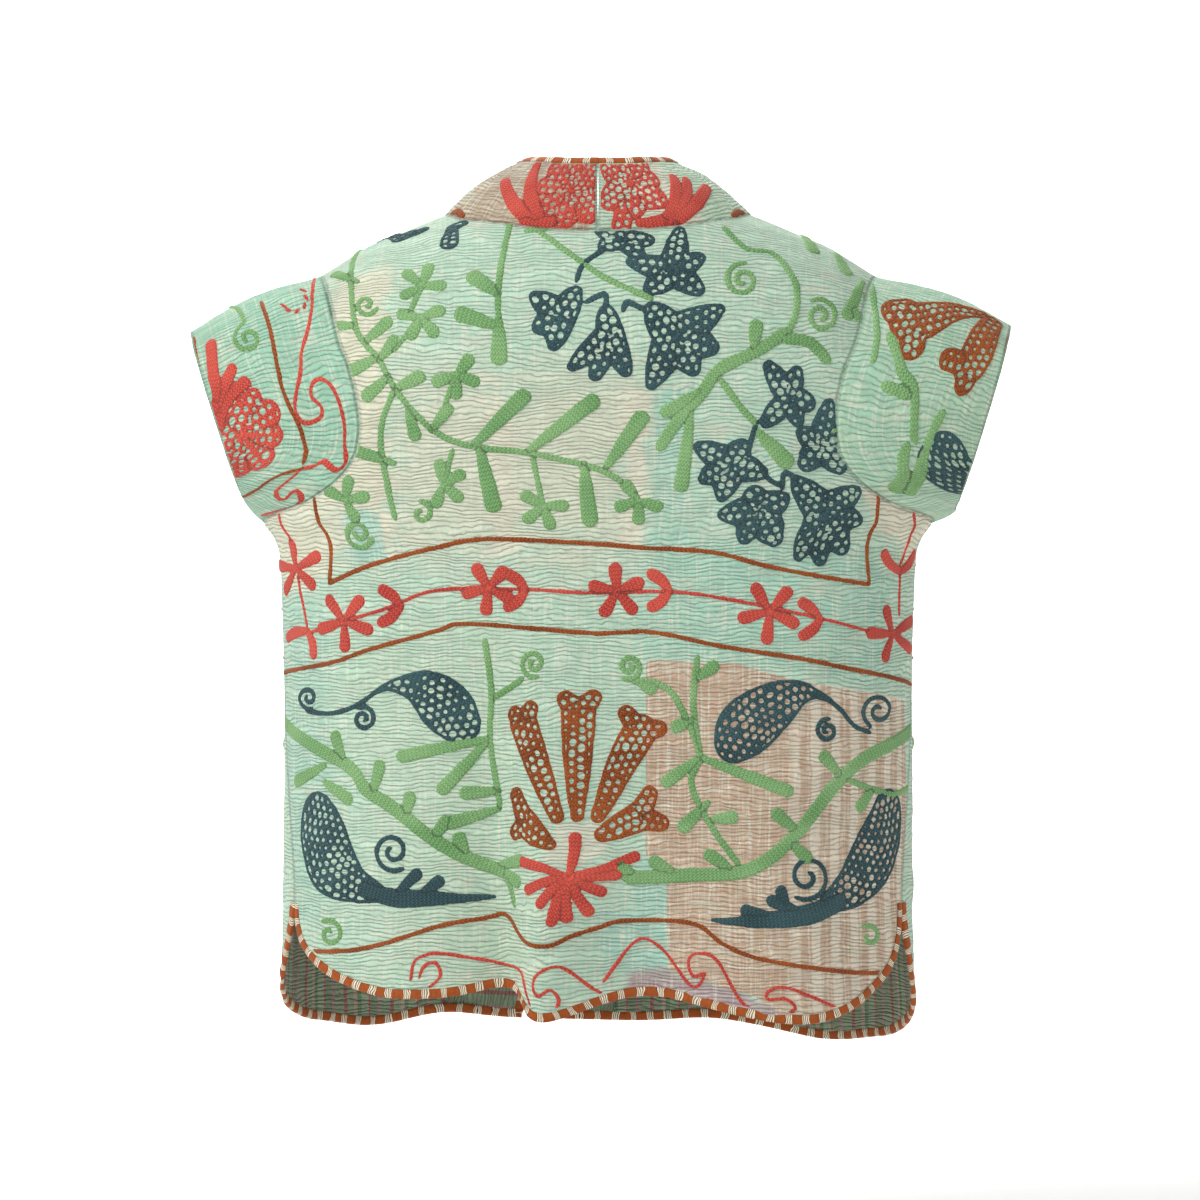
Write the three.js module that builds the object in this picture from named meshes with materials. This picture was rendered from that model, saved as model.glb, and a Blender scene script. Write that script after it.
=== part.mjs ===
// Short-sleeved embroidered waistcoat of quilted cotton, in the form it has when worn, with no wearer in it.
// One back panel, two fronts, two cap sleeves and a neckband in two halves that run on down both front edges.
// A striped cotton binding wraps the hems, the side vents and the free edge of the neckband.
// Millimetres, +Z up, the wearer faces -Y and the wearer's left is +X.
// The origin is where the shoulders carry it: midway between the two neck points, on the ridge of the shoulders.
import * as THREE from "three";

// ---- Driving sizes ----
const CLOTH = 2.4; // layered cotton, quilted by hand
const SEAM_GAP = 0.3; // left between pieces that are sewn together
const BINDING_WIDTH = 8; // seen width of the binding, from its fold to its stitched edge
const BINDING_PROUD = 0.6; // how far the binding stands off the cloth on each face
const QUARTER = 330; // cloth from the centre line to the side point, round the body
const SIDE_TURN = 2.6; // power that keeps the back flat and rounds the sides
const VENT_TOP = -588; // where both side seams open
const HEM = { back: -668, front: -701 };
const HEM_SLOPE = { back: 0.05, front: 0.025 }; // the wearer's right side hangs lower
const HEM_DIP = 0.6; // a fold that stands out hangs this much lower for each millimetre
const CORNER_FROM = { back: 172, front: 262 }; // from the centre line to where the hem starts to turn up
const CORNER_POWER = { back: 2.2, front: 1.7 };
const BAND_SEAM = 74; // from the centre front to the seam of the front band
const BAND_EDGE = 5; // from the centre front to the free edge of the band
const BAND_WIDE = 76; // from the band's seam to its free edge
const SWING = { from: -262, by: 62, power: 1.3 }; // the front opening drifts to the wearer's left on its way down
const SHOULDER_POINT = 241; // where the shoulder line meets the armhole
const SHOULDER_ARC = { back: 150, front: 190 }; // height over which the cloth rounds over the shoulders
const ARC_STRETCH = 1.37; // cloth in that arc, for each millimetre of its height

// ---- Steps of each edge; pieces that meet share them ----
const NECK_STEPS = 9;
const STRAIGHT_STEPS = 10;
const UNDERARM_STEPS = 5;
const ARMHOLE_STEPS = 9;
const CORNER_STEPS = 9;
const BACK_HEM_STEPS = 26;
const FRONT_HEM_STEPS = 6;
const SLEEVE_STEPS = 5;

// ---- Form tables: a row for each level or station ----
const HALF_WIDTH = [
  { z: -720, half: 274 }, { z: -640, half: 272 }, { z: -560, half: 270 }, { z: -420, half: 270 },
  { z: -320, half: 272 }, { z: -290, half: 274 }, { z: -276, half: 279 }, { z: -264, half: 287 },
  { z: -240, half: 290 }, { z: 60, half: 290 },
];
const DEPTH = [
  { z: -720, back: 120, front: 128 }, { z: -560, back: 117, front: 126 }, { z: -400, back: 114, front: 126 },
  { z: -264, back: 114, front: 127 }, { z: -150, back: 116, front: 122 }, { z: 60, back: 116, front: 118 },
];
const SHOULDER_RIDGE = [
  { x: 0, z: 30 }, { x: 70, z: 21 }, { x: 133, z: 0 }, { x: 170, z: -15 },
  { x: 198, z: -27 }, { x: 221, z: -41 }, { x: 241, z: -53 }, { x: 300, z: -76 },
];
// How far behind the side point each side seam runs.
const SEAM_BEHIND = [{ z: -720, by: 50 }, { z: -588, by: 46 }, { z: -420, by: 18 }, { z: -264, by: 0 }];
// Each armhole, from the side seam to the deepest point, then up to the shoulder.
const UNDERARM = {
  back: [{ x: 287, z: -264 }, { x: 258, z: -251 }, { x: 232, z: -238 }, { x: 213, z: -222 }, { x: 203, z: -205 }],
  front: [{ x: 287, z: -264 }, { x: 255, z: -254 }, { x: 226, z: -241 }, { x: 206, z: -222 }, { x: 197, z: -200 }],
};
const ARMHOLE = {
  back: [{ x: 203, z: -205 }, { x: 200, z: -185 }, { x: 203, z: -160 }, { x: 210, z: -132 }, { x: 222, z: -100 }],
  front: [{ x: 197, z: -200 }, { x: 195, z: -178 }, { x: 198, z: -152 }, { x: 207, z: -118 }, { x: 221, z: -86 }],
};
// The neckline seam on the panels, and the free edge of the band that stands up from it.
const NECK = {
  back: [
    { x: 0, z: -18, freeX: 0, freeY: 46, freeZ: 47 }, { x: 36, z: -17, freeX: 20, freeY: 45, freeZ: 47 },
    { x: 70, z: -13, freeX: 39, freeY: 38, freeZ: 48 }, { x: 100, z: -8, freeX: 53, freeY: 24, freeZ: 49 },
    { x: 121, z: -4, freeX: 61, freeY: 10, freeZ: 49 }, { x: 133, z: 0, freeX: 63, freeY: -4, freeZ: 48 },
  ],
  front: [
    { x: 133, z: 0, freeX: 63, freeY: -4, freeZ: 48 }, { x: 131, z: -14, freeX: 60, freeY: -30, freeZ: 38 },
    { x: 122, z: -45, freeX: 51, freeY: -57, freeZ: 12 }, { x: 109, z: -85, freeX: 39, freeY: -79, freeZ: -26 },
    { x: 96, z: -127, freeX: 26, freeY: -97, freeZ: -74 }, { x: 85, z: -172, freeX: 15, freeY: -111, freeZ: -131 },
    { x: 77, z: -218, freeX: 8, freeY: -121, freeZ: -192 },
  ],
};
// Cuff openings: the top and the lowest point of each, and half its depth from front to back.
const CUFF = {
  left: { topX: 350, topZ: -100, lowX: 304, lowZ: -245, halfDepth: 64 },
  right: { topX: 355, topZ: -94, lowX: 307, lowZ: -253, halfDepth: 64 },
};
// Hanging folds: where each meets the hem, how wide, how far out and how far it rolls over to the wearer's left,
// how much it leans on its way up, and the level where it dies away.
const FOLDS = {
  back: [
    { s: 34, width: 34, out: 27, roll: 15, lean: 0.02, top: -250 },
    { s: 82, width: 27, out: -17, roll: -10, lean: 0.06, top: -330 },
    { s: -46, width: 42, out: -13, roll: 0, lean: -0.04, top: -360 },
    { s: -165, width: 58, out: 15, roll: 0, lean: 0.1, top: -260 },
    { s: 172, width: 46, out: 8, roll: 0, lean: -0.12, top: -300 },
    { s: -246, width: 26, out: -5, roll: 0, lean: 0.2, top: -420 },
  ],
  front: [
    { s: 205, width: 44, out: 15, roll: 0, lean: 0.08, top: -330 },
    { s: 132, width: 34, out: -8, roll: 0, lean: 0.05, top: -380 },
    { s: -96, width: 38, out: -8, roll: 0, lean: 0.06, top: -400 },
    { s: -205, width: 50, out: 19, roll: 0, lean: -0.08, top: -280 },
  ],
};

const clamp = (value, low, high) => Math.min(Math.max(value, low), high);
const steps = (count, at) => Array.from({ length: count + 1 }, (_, i) => at(i / count));

// Smooth value of one column of a table, at a place along another.
function along(rows, key, column, at) {
  const last = rows.length - 1;
  const place = clamp(at, rows[0][key], rows[last][key]);
  const slope = (i) => (rows[i + 1][column] - rows[i][column]) / (rows[i + 1][key] - rows[i][key]);
  const tangent = (i) => {
    if (i === 0) return slope(0);
    if (i === last) return slope(last - 1);
    const [before, after] = [slope(i - 1), slope(i)];
    return before * after <= 0 ? 0 : (2 * before * after) / (before + after);
  };
  const i = rows.findIndex((row, k) => k < last && place <= rows[k + 1][key]);
  const span = rows[i + 1][key] - rows[i][key];
  const t = (place - rows[i][key]) / span;
  const rise = t * t * (3 - 2 * t) * (rows[i + 1][column] - rows[i][column]);
  return rows[i][column] + rise + span * t * (1 - t) * ((1 - t) * tangent(i) - t * tangent(i + 1));
}

// A quarter of the worn section, scaled to 1 by 1: its heading turns from across the back to straight forward.
const UNIT_STEPS = 240;
const UNIT_QUARTER = (() => {
  const points = [[0, 0]];
  for (let i = 0; i < UNIT_STEPS; i++) {
    const heading = (Math.PI / 2) * ((i + 0.5) / UNIT_STEPS) ** SIDE_TURN;
    const [x, y] = points[i];
    points.push([x + Math.cos(heading), y + Math.sin(heading)]);
  }
  const [across, down] = points[UNIT_STEPS];
  return points.map(([x, y]) => ({ across: x / across, deep: 1 - y / down }));
})();

function unitQuarter(t) {
  const place = clamp(t, 0, 1) * UNIT_STEPS;
  const i = Math.min(Math.floor(place), UNIT_STEPS - 1);
  const mix = (key) => THREE.MathUtils.lerp(UNIT_QUARTER[i][key], UNIT_QUARTER[i + 1][key], place - i);
  return { across: mix("across"), deep: mix("deep") };
}

const ridge = (x) => along(SHOULDER_RIDGE, "x", "z", Math.abs(x));
const halfWidth = (w) => along(HALF_WIDTH, "z", "half", w);
const clothTop = (face, x) => ridge(x) + SHOULDER_ARC[face] * (ARC_STRETCH - 1);

// How far the folds push the cloth out, or roll it over, at one place of a panel.
function drape(face, s, w, way = "out") {
  return FOLDS[face].reduce((sum, fold) => {
    const rise = clamp((w - HEM[face]) / (fold.top - HEM[face]), 0, 1);
    const off = (s - fold.s - fold.lean * (w - HEM[face])) / fold.width;
    return sum + fold[way] * (1 - rise) ** 1.6 * Math.exp(-off * off);
  }, 0);
}

// The worn surface. s runs round the body from the centre line, + to the wearer's left. w is the height that
// the cloth would have if it hung straight, so it passes the shoulder ridge by the cloth in the shoulder's arc.
function torso(panel, s, w) {
  const side = Math.sign(s) || 1;
  const past = Math.abs(s) > QUARTER;
  const face = past === (panel === "back") ? "front" : "back";
  const t = past ? 2 - Math.abs(s) / QUARTER : Math.abs(s) / QUARTER;
  const { across, deep } = unitQuarter(t);
  const x = side * halfWidth(w) * across;
  const arc = SHOULDER_ARC[face];
  const fromTop = clothTop(face, x) - w;
  const turn = clamp(fromTop / (arc * ARC_STRETCH), 0, 1) * (Math.PI / 2);
  const below = Math.max(fromTop - arc * ARC_STRETCH, 0);
  const z = ridge(x) - arc * (1 - Math.cos(turn)) - below;
  const depth = along(DEPTH, "z", face, z) * deep * Math.sin(turn);
  const out = depth + drape(face, side * t * QUARTER, w) * Math.sqrt(deep);
  const roll = drape(face, side * t * QUARTER, w, "roll") * deep;
  return new THREE.Vector3(x + roll, face === "back" ? out : -out, z);
}

// The place on the cloth, x for s and y for w, of a point of that face given by its x and z.
function onCloth(face, { x, z }) {
  const drop = ridge(x) - z;
  const arc = SHOULDER_ARC[face];
  const turned = (Math.acos(1 - Math.min(drop / arc, 1)) / (Math.PI / 2)) * arc * ARC_STRETCH;
  const w = clothTop(face, x) - turned - Math.max(drop - arc, 0);
  const goal = Math.min(x / halfWidth(w), 1);
  const i = Math.max(UNIT_QUARTER.findIndex(({ across }) => across >= goal), 1);
  const part = (goal - UNIT_QUARTER[i - 1].across) / (UNIT_QUARTER[i].across - UNIT_QUARTER[i - 1].across);
  return new THREE.Vector2((QUARTER * (i - 1 + part)) / UNIT_STEPS, w);
}

// Outward normal of the worn surface, from two short steps along the cloth.
function outward(face, s, w) {
  const across = torso(face, s + 0.5, w).sub(torso(face, s - 0.5, w));
  const down = torso(face, s, w - 0.5).sub(torso(face, s, w));
  return (face === "back" ? across.cross(down) : down.cross(across)).normalize();
}

// ---- Solids ----
// A closed wall of cloth from its outer and inner points; triangles face out when seen from outside.
function wall(name, material, outer, inner, triangles) {
  const count = outer.length;
  const edges = new Map();
  triangles.forEach(([a, b, c]) => [[a, b], [b, c], [c, a]].forEach(([p, q]) => edges.set(`${p} ${q}`, [p, q])));
  const rim = [...edges.values()].filter(([p, q]) => !edges.has(`${q} ${p}`));
  const indices = [
    ...triangles.flat(),
    ...triangles.flatMap(([a, b, c]) => [a + count, c + count, b + count]),
    ...rim.flatMap(([p, q]) => [q, p, p + count, q, p + count, q + count]),
  ];
  const positions = [...outer, ...inner].flatMap((p) => p.toArray());
  const geometry = new THREE.BufferGeometry();
  geometry.setAttribute("position", new THREE.Float32BufferAttribute(positions, 3));
  geometry.setIndex(indices);
  geometry.computeVertexNormals();
  const mesh = new THREE.Mesh(geometry, material);
  mesh.name = name;
  return mesh;
}

// Triangles over rows of numbered points. Rows run up and their points to the right, as seen from outside.
function weave(rows, turned) {
  const triangles = [];
  rows.slice(1).forEach((upper, i) => {
    upper.slice(1).forEach((_, j) => {
      const [a, b, c, d] = [rows[i][j], rows[i][j + 1], upper[j + 1], upper[j]];
      triangles.push(...(turned ? [[a, c, b], [a, d, c]] : [[a, b, c], [a, c, d]]));
    });
  });
  return triangles;
}

const numbered = (rows) => rows.map((row, i) => row.map((_, j) => i * row.length + j));

// Rows of cloth places inside four edges; bottom and top run the same way, left and right both run up.
function fill(bottom, top, left, right) {
  const share = (edge, key) => {
    const span = Math.abs(edge.at(-1)[key] - edge[0][key]);
    return edge.map((p) => Math.abs(p[key] - edge[0][key]) / span);
  };
  const columns = share(bottom, "x");
  return share(left, "y").map((v, i) =>
    columns.map((u, j) => {
      const lerp = (a, b, t) => a.clone().lerp(b, t);
      const corners = lerp(lerp(bottom[0], bottom.at(-1), u), lerp(top[0], top.at(-1), u), v);
      return lerp(bottom[j], top[j], v).add(lerp(left[i], right[i], u)).sub(corners);
    }),
  );
}

// A panel of two grids that share the chest line: the lower one also passes under the armholes.
function panelSolid(name, face, lower, upper, skipped, turned) {
  const places = [...lower.flat(), ...upper.slice(1).flat()];
  const lowerRows = numbered(lower);
  const start = lower.flat().length;
  const chest = lowerRows.at(-1).slice(skipped, skipped + upper[0].length);
  const upperRows = [chest, ...numbered(upper.slice(1)).map((row) => row.map((n) => n + start))];
  const triangles = [...weave(lowerRows, turned), ...weave(upperRows, turned)];
  const moved = (by) => places.map((p) => torso(face, p.x, p.y).addScaledVector(outward(face, p.x, p.y), by));
  return wall(name, cottonMint, moved(0), moved(-CLOTH), triangles);
}

// ---- Edges of the panels, as cloth places on the wearer's left ----
const onSide = (side) => (p) => new THREE.Vector2(side * p.x, p.y);
const seamAt = (face, w) => QUARTER + (face === "back" ? -1 : 1) * along(SEAM_BEHIND, "z", "by", w);
const spline = (face, table) => new THREE.SplineCurve(table.map((row) => onCloth(face, row)));

// Where the front opening is at a level: its middle's distance from the centre line.
const opening = (w) => SWING.by * clamp((SWING.from - w) / (SWING.from - HEM.front), 0, 1) ** SWING.power;

function hemLevel(face, s) {
  return HEM[face] + HEM_SLOPE[face] * s - HEM_DIP * drape(face, s, HEM[face]);
}

// The fold of the hem's rounded corner, from the vent top (turn 0) down to the level hem (turn 1).
function cornerPoint(face, side, turn) {
  const angle = (turn * Math.PI) / 2;
  const power = 2 / CORNER_POWER[face];
  const s = CORNER_FROM[face] + (seamAt(face, VENT_TOP) - CORNER_FROM[face]) * Math.cos(angle) ** power;
  return new THREE.Vector2(side * s, VENT_TOP + (hemLevel(face, side * s) - VENT_TOP) * Math.sin(angle) ** power);
}

function backHem() {
  const from = CORNER_FROM.back;
  const corner = (side) => steps(CORNER_STEPS, (turn) => cornerPoint("back", side, turn)).slice(0, -1);
  const level = steps(BACK_HEM_STEPS, (t) => new THREE.Vector2(-from + 2 * from * t, hemLevel("back", -from + 2 * from * t)));
  return [...corner(-1), ...level, ...corner(1).reverse()];
}

// From a distance out from the middle of the opening to the vent top.
function frontHem(side, fromOpening, count) {
  const from = fromOpening + side * opening(HEM.front);
  const level = steps(count, (t) => side * THREE.MathUtils.lerp(from, CORNER_FROM.front, t));
  const corner = steps(CORNER_STEPS, (t) => cornerPoint("front", side, 1 - t)).slice(1);
  return [...level.map((s) => new THREE.Vector2(s, hemLevel("front", s))), ...corner];
}

// A line of cloth places moved sideways; a positive distance is to the left of its direction.
function inset(line, by) {
  return line.map((p, i) => {
    const run = line[Math.min(i + 1, line.length - 1)].clone().sub(line[Math.max(i - 1, 0)]).normalize();
    if (p.y === VENT_TOP) run.set(0, Math.sign(run.y));
    return new THREE.Vector2(p.x - run.y * by, p.y + run.x * by);
  });
}

// Lower edge of a panel above its binding, with the step back out to the seam at each vent top.
function aboveBinding(hem, by, vents) {
  const line = inset(hem, by);
  const corner = (fold, inside) => [
    new THREE.Vector2(fold.x, VENT_TOP + SEAM_GAP),
    new THREE.Vector2(fold.x + Math.sign(inside.x - fold.x) * Math.abs(by), VENT_TOP + SEAM_GAP),
  ];
  const first = vents.first ? corner(hem[0], hem[1]) : [line[0]];
  const last = corner(hem.at(-1), hem.at(-2)).reverse();
  return [...first, ...line.slice(1, -1), ...last];
}

const seamGapOf = (face) => (face === "front" ? SEAM_GAP : 0);

function sideSeam(face) {
  const [low, high] = [VENT_TOP + SEAM_GAP, onCloth(face, UNDERARM[face][0]).y];
  return steps(STRAIGHT_STEPS, (t) => {
    const w = THREE.MathUtils.lerp(low, high, t);
    return new THREE.Vector2(seamAt(face, w) - seamGapOf(face), w);
  });
}

function underarm(face) {
  const line = spline(face, UNDERARM[face]).getSpacedPoints(UNDERARM_STEPS);
  line[0].set(sideSeam(face).at(-1).x, sideSeam(face).at(-1).y);
  return line;
}

function armhole(face) {
  const line = spline(face, [...ARMHOLE[face], { x: SHOULDER_POINT, z: ridge(SHOULDER_POINT) }]).getSpacedPoints(ARMHOLE_STEPS);
  line.at(-1).y -= SEAM_GAP * 0.7;
  return line;
}

const neckSeam = (face) => spline(face, NECK[face]).getPoints(NECK_STEPS);

// Shoulder seam from the neck to the armhole.
function shoulder(face, count) {
  const [neck, point] = [onCloth(face, { x: 133, z: 0 }), onCloth(face, { x: SHOULDER_POINT, z: ridge(SHOULDER_POINT) })];
  return steps(count, (t) => {
    const s = THREE.MathUtils.lerp(neck.x, point.x, t);
    const guess = torso(face, s, clothTop(face, s)).x;
    return new THREE.Vector2(s, clothTop(face, guess) - SEAM_GAP * 0.7);
  });
}

// ---- Materials ----
const cottonMint = new THREE.MeshStandardMaterial({ color: 0xa9d3b8, roughness: 0.9, metalness: 0 });
const cottonTaupe = new THREE.MeshStandardMaterial({ color: 0xc9a98f, roughness: 0.9, metalness: 0 });
const stripedBinding = new THREE.MeshStandardMaterial({ color: 0xa9531c, roughness: 0.75, metalness: 0 });

// ---- Back panel ----
function backPanel() {
  const bottom = aboveBinding(backHem(), BINDING_WIDTH + SEAM_GAP, { first: true });
  const side = sideSeam("back");
  const under = underarm("back");
  const hole = armhole("back");
  const chestSteps = bottom.length - 1 - 2 * UNDERARM_STEPS;
  const [from, to] = [onSide(-1)(under.at(-1)), under.at(-1)];
  const chest = steps(chestSteps, (t) => from.clone().lerp(to, t));
  const lowerTop = [...under.map(onSide(-1)), ...chest.slice(1, -1), ...under.slice().reverse()];
  const lower = fill(bottom, lowerTop, side.map(onSide(-1)), side);
  const neck = neckSeam("back");
  const half = [...neck.slice(0, -1), ...shoulder("back", chestSteps / 2 - NECK_STEPS)];
  const top = [...half.slice(1).reverse().map(onSide(-1)), ...half];
  const upper = fill(chest, top, hole.map(onSide(-1)), hole);
  return panelSolid("back_panel", "back", lower, upper, UNDERARM_STEPS, true);
}

// ---- Fronts ----
// The band seam from the hem binding up to the chest line.
function bandStraight(side) {
  const high = neckSeam("front").at(-1);
  const low = hemLevel("front", side * BAND_SEAM + opening(HEM.front)) + BINDING_WIDTH + SEAM_GAP;
  return steps(STRAIGHT_STEPS, (t) => {
    const w = THREE.MathUtils.lerp(low, high.y, t);
    const settle = clamp((w - high.y + 60) / 60, 0, 1);
    const s = THREE.MathUtils.lerp(BAND_SEAM, high.x, settle * settle);
    return new THREE.Vector2(s + side * (t === 0 ? opening(HEM.front) : opening(w)), w);
  });
}

function frontPanel(side) {
  const hem = frontHem(side, BAND_SEAM, FRONT_HEM_STEPS);
  const bottom = aboveBinding(hem, side * (BINDING_WIDTH + SEAM_GAP), { first: false });
  const inner = bandStraight(side);
  bottom[0].set(side * inner[0].x, inner[0].y);
  const seam = sideSeam("front").map(onSide(side));
  bottom.at(-1).x = seam[0].x;
  const under = underarm("front").map(onSide(side));
  const chestSteps = bottom.length - 1 - UNDERARM_STEPS;
  const chest = steps(chestSteps, (t) => onSide(side)(inner.at(-1)).lerp(under.at(-1), t));
  const lowerInner = inner.map(onSide(side));
  lowerInner[0].copy(bottom[0]);
  const lower = fill(bottom, [...chest, ...under.slice(0, -1).reverse()], lowerInner, seam);
  const neck = neckSeam("front").reverse().map(onSide(side));
  const top = shoulder("front", chestSteps).map(onSide(side));
  neck.at(-1).copy(top[0]);
  const upper = fill(chest, top, neck, armhole("front").map(onSide(side)));
  const name = side > 0 ? "left_front_panel" : "right_front_panel";
  return panelSolid(name, "front", lower, upper, 0, side < 0);
}

// ---- Cap sleeves ----
// The armhole, from the shoulder down the back to the underarm and up the front.
function armholeRing(side) {
  const half = (face) => [...underarm(face), ...armhole(face).slice(1)].map(onSide(side)).map((p) => ({
    at: torso(face, p.x, p.y),
    normal: outward(face, p.x, p.y),
  }));
  return [...half("back").reverse(), ...half("front").slice(1, -1)];
}

function sleeve(side) {
  const { topX, topZ, lowX, lowZ, halfDepth } = side > 0 ? CUFF.left : CUFF.right;
  const ring = armholeRing(side);
  const rows = steps(SLEEVE_STEPS, (share) =>
    ring.map(({ at, normal }, k) => {
      const angle = (2 * Math.PI * k) / ring.length;
      const high = (1 + Math.cos(angle)) / 2;
      const cuff = new THREE.Vector3(
        side * THREE.MathUtils.lerp(lowX, topX, high),
        halfDepth * Math.sin(angle),
        THREE.MathUtils.lerp(lowZ, topZ, high),
      );
      const run = cuff.sub(at);
      const start = SEAM_GAP / run.length();
      const t = start + (1 - start) * share;
      const crown = 7 * Math.sin(Math.PI * t) * Math.min(run.length() / 90, 1);
      return at.clone().addScaledVector(run, t).addScaledVector(normal, crown);
    }),
  );
  const inner = rows.map((row, i) =>
    row.map((p, k) => {
      const round = row[(k + 1) % ring.length].clone().sub(row.at(k - 1));
      const down = rows[Math.min(i + 1, SLEEVE_STEPS)][k].clone().sub(rows[Math.max(i - 1, 0)][k]);
      const normal = i === 0 ? ring[k].normal : down.cross(round).normalize().multiplyScalar(side);
      return p.clone().addScaledVector(normal, -CLOTH);
    }),
  );
  const joined = numbered(rows).map((row) => [...row, row[0]]);
  const name = side > 0 ? "left_sleeve" : "right_sleeve";
  return wall(name, cottonMint, rows.flat(), inner.flat(), weave(joined, side > 0));
}

// ---- Neckband ----
// Stations along one half, from the centre back over the shoulder and down to the hem.
function bandStations(side) {
  const free = (face) =>
    new THREE.CatmullRomCurve3(NECK[face].map((row) => new THREE.Vector3(side * row.freeX, row.freeY, row.freeZ)))
      .getPoints(NECK_STEPS);
  const station = (face, place, edge) => ({ face, place, seam: torso(face, place.x, place.y), free: edge });
  const worn = ["back", "front"].map((face) =>
    neckSeam(face).map(onSide(side)).map((place, i) => station(face, place, free(face)[i])),
  );
  const from = worn[1].at(-1).free;
  const to = hemLevel("front", side * BAND_EDGE + opening(HEM.front)) + BINDING_WIDTH + SEAM_GAP;
  const straight = bandStraight(side).reverse().map(onSide(side)).map((place, i) => {
    const t = i / STRAIGHT_STEPS;
    const w = THREE.MathUtils.lerp(from.z, to, t);
    const edge = side * THREE.MathUtils.lerp(Math.abs(from.x), BAND_EDGE, clamp(4 * t, 0, 1));
    return station("front", place, torso("front", edge + opening(t === 1 ? HEM.front : w), w));
  });
  return [...worn[0], ...worn[1].slice(1), ...straight.slice(1)];
}

// Rows of points over the band between two shares of its width, each with its outward normal.
function bandRows(side, from, to, across) {
  const stations = bandStations(side);
  const grid = stations.map(({ face, place, seam, free }) => {
    const normal = outward(face, place.x, place.y);
    const crown = 1 + 5 * clamp((place.y + 262) / 60, 0, 1);
    return steps(across, (t) => {
      const m = THREE.MathUtils.lerp(from, to, t);
      return seam.clone().lerp(free, m).addScaledVector(normal, crown * Math.sin(Math.PI * m));
    });
  });
  return grid.map((row, i) =>
    row.map((p, j) => {
      const down = grid[Math.min(i + 1, grid.length - 1)][j].clone().sub(grid[Math.max(i - 1, 0)][j]);
      const over = row[Math.min(j + 1, across)].clone().sub(row[Math.max(j - 1, 0)]);
      const normal = down.cross(over).normalize().multiplyScalar(-side);
      const { face, place } = stations[i];
      if (from < 0.5 && j === 0) normal.copy(outward(face, place.x, place.y));
      if (i === 0) normal.setX(0).normalize();
      // Both halves stop half a gap short of the centre-back seam.
      return { at: i === 0 ? p.clone().setX((side * SEAM_GAP) / 2) : p, normal };
    }),
  );
}

function bandSolid(name, material, side, rows, rise, drop) {
  const moved = (by) => rows.flat().map(({ at, normal }) => at.clone().addScaledVector(normal, by));
  return wall(name, material, moved(rise), moved(-drop), weave(numbered(rows), side < 0));
}

function neckband(side) {
  const rows = bandRows(side, SEAM_GAP / BAND_WIDE, 1 - (BINDING_WIDTH + SEAM_GAP) / BAND_WIDE, 4);
  return bandSolid(side > 0 ? "left_neckband" : "right_neckband", cottonTaupe, side, rows, 0, CLOTH);
}

// ---- Bindings ----
function neckBinding(side) {
  const rows = bandRows(side, 1 - BINDING_WIDTH / BAND_WIDE, 1, 1);
  const name = side > 0 ? "left_neck_binding" : "right_neck_binding";
  return bandSolid(name, stripedBinding, side, rows, BINDING_PROUD, CLOTH + BINDING_PROUD);
}

function hemBinding(name, face, hem, by, turned) {
  const edge = inset(hem, by);
  const places = hem.flatMap((p, i) => [p, edge[i]]);
  const moved = (out) => places.map((p) => torso(face, p.x, p.y).addScaledVector(outward(face, p.x, p.y), out));
  const rows = numbered(hem.map(() => [0, 1]));
  return wall(name, stripedBinding, moved(BINDING_PROUD), moved(-CLOTH - BINDING_PROUD), weave(rows, turned));
}

const waistcoat = new THREE.Group();
waistcoat.name = "embroidered_waistcoat";
waistcoat.add(backPanel());
for (const side of [1, -1]) {
  waistcoat.add(frontPanel(side), sleeve(side), neckband(side), neckBinding(side));
  const hem = [
    ...frontHem(side, BAND_EDGE, 1).slice(0, 1),
    ...frontHem(side, (BAND_EDGE + BAND_SEAM) / 2, 1).slice(0, 1),
    ...frontHem(side, BAND_SEAM, FRONT_HEM_STEPS),
  ];
  const name = side > 0 ? "left_hem_binding" : "right_hem_binding";
  waistcoat.add(hemBinding(name, "front", hem, side * BINDING_WIDTH, side > 0));
}
waistcoat.add(hemBinding("back_hem_binding", "back", backHem(), BINDING_WIDTH, false));

export default waistcoat;
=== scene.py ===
import math

import bpy
import numpy as np
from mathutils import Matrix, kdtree


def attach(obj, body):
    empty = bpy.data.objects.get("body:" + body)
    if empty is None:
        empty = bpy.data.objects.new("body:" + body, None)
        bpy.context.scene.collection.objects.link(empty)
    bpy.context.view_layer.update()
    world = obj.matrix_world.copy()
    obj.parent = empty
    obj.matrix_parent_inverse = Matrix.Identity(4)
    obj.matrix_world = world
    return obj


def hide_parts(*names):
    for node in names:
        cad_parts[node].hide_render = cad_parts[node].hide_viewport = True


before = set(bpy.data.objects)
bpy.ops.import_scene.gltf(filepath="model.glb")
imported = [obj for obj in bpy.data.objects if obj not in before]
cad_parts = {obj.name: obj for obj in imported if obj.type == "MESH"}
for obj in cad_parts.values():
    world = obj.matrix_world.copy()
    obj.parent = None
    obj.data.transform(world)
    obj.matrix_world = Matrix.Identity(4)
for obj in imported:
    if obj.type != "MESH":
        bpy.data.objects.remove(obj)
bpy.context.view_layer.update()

# ======== Back panel ========
# One broad panel of old cottons laid in layers, patched, and held together by rows of hand running stitch.
# It hangs from the shoulders almost flat, rounds at the sides, and falls into a few soft folds at the hem.
MM = 0.001
CLOTH = 2.4  # the quilted layers together
QUARTER = 330  # cloth from the centre line to the side point
SIDE_TURN = 2.6  # power that keeps the back flat and rounds the sides
VENT_TOP = -588
HEM = {"back": -668, "front": -701}
HEM_SLOPE = {"back": 0.05, "front": 0.025}
HEM_DIP = 0.6
CORNER_FROM = {"back": 172, "front": 262}
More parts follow.
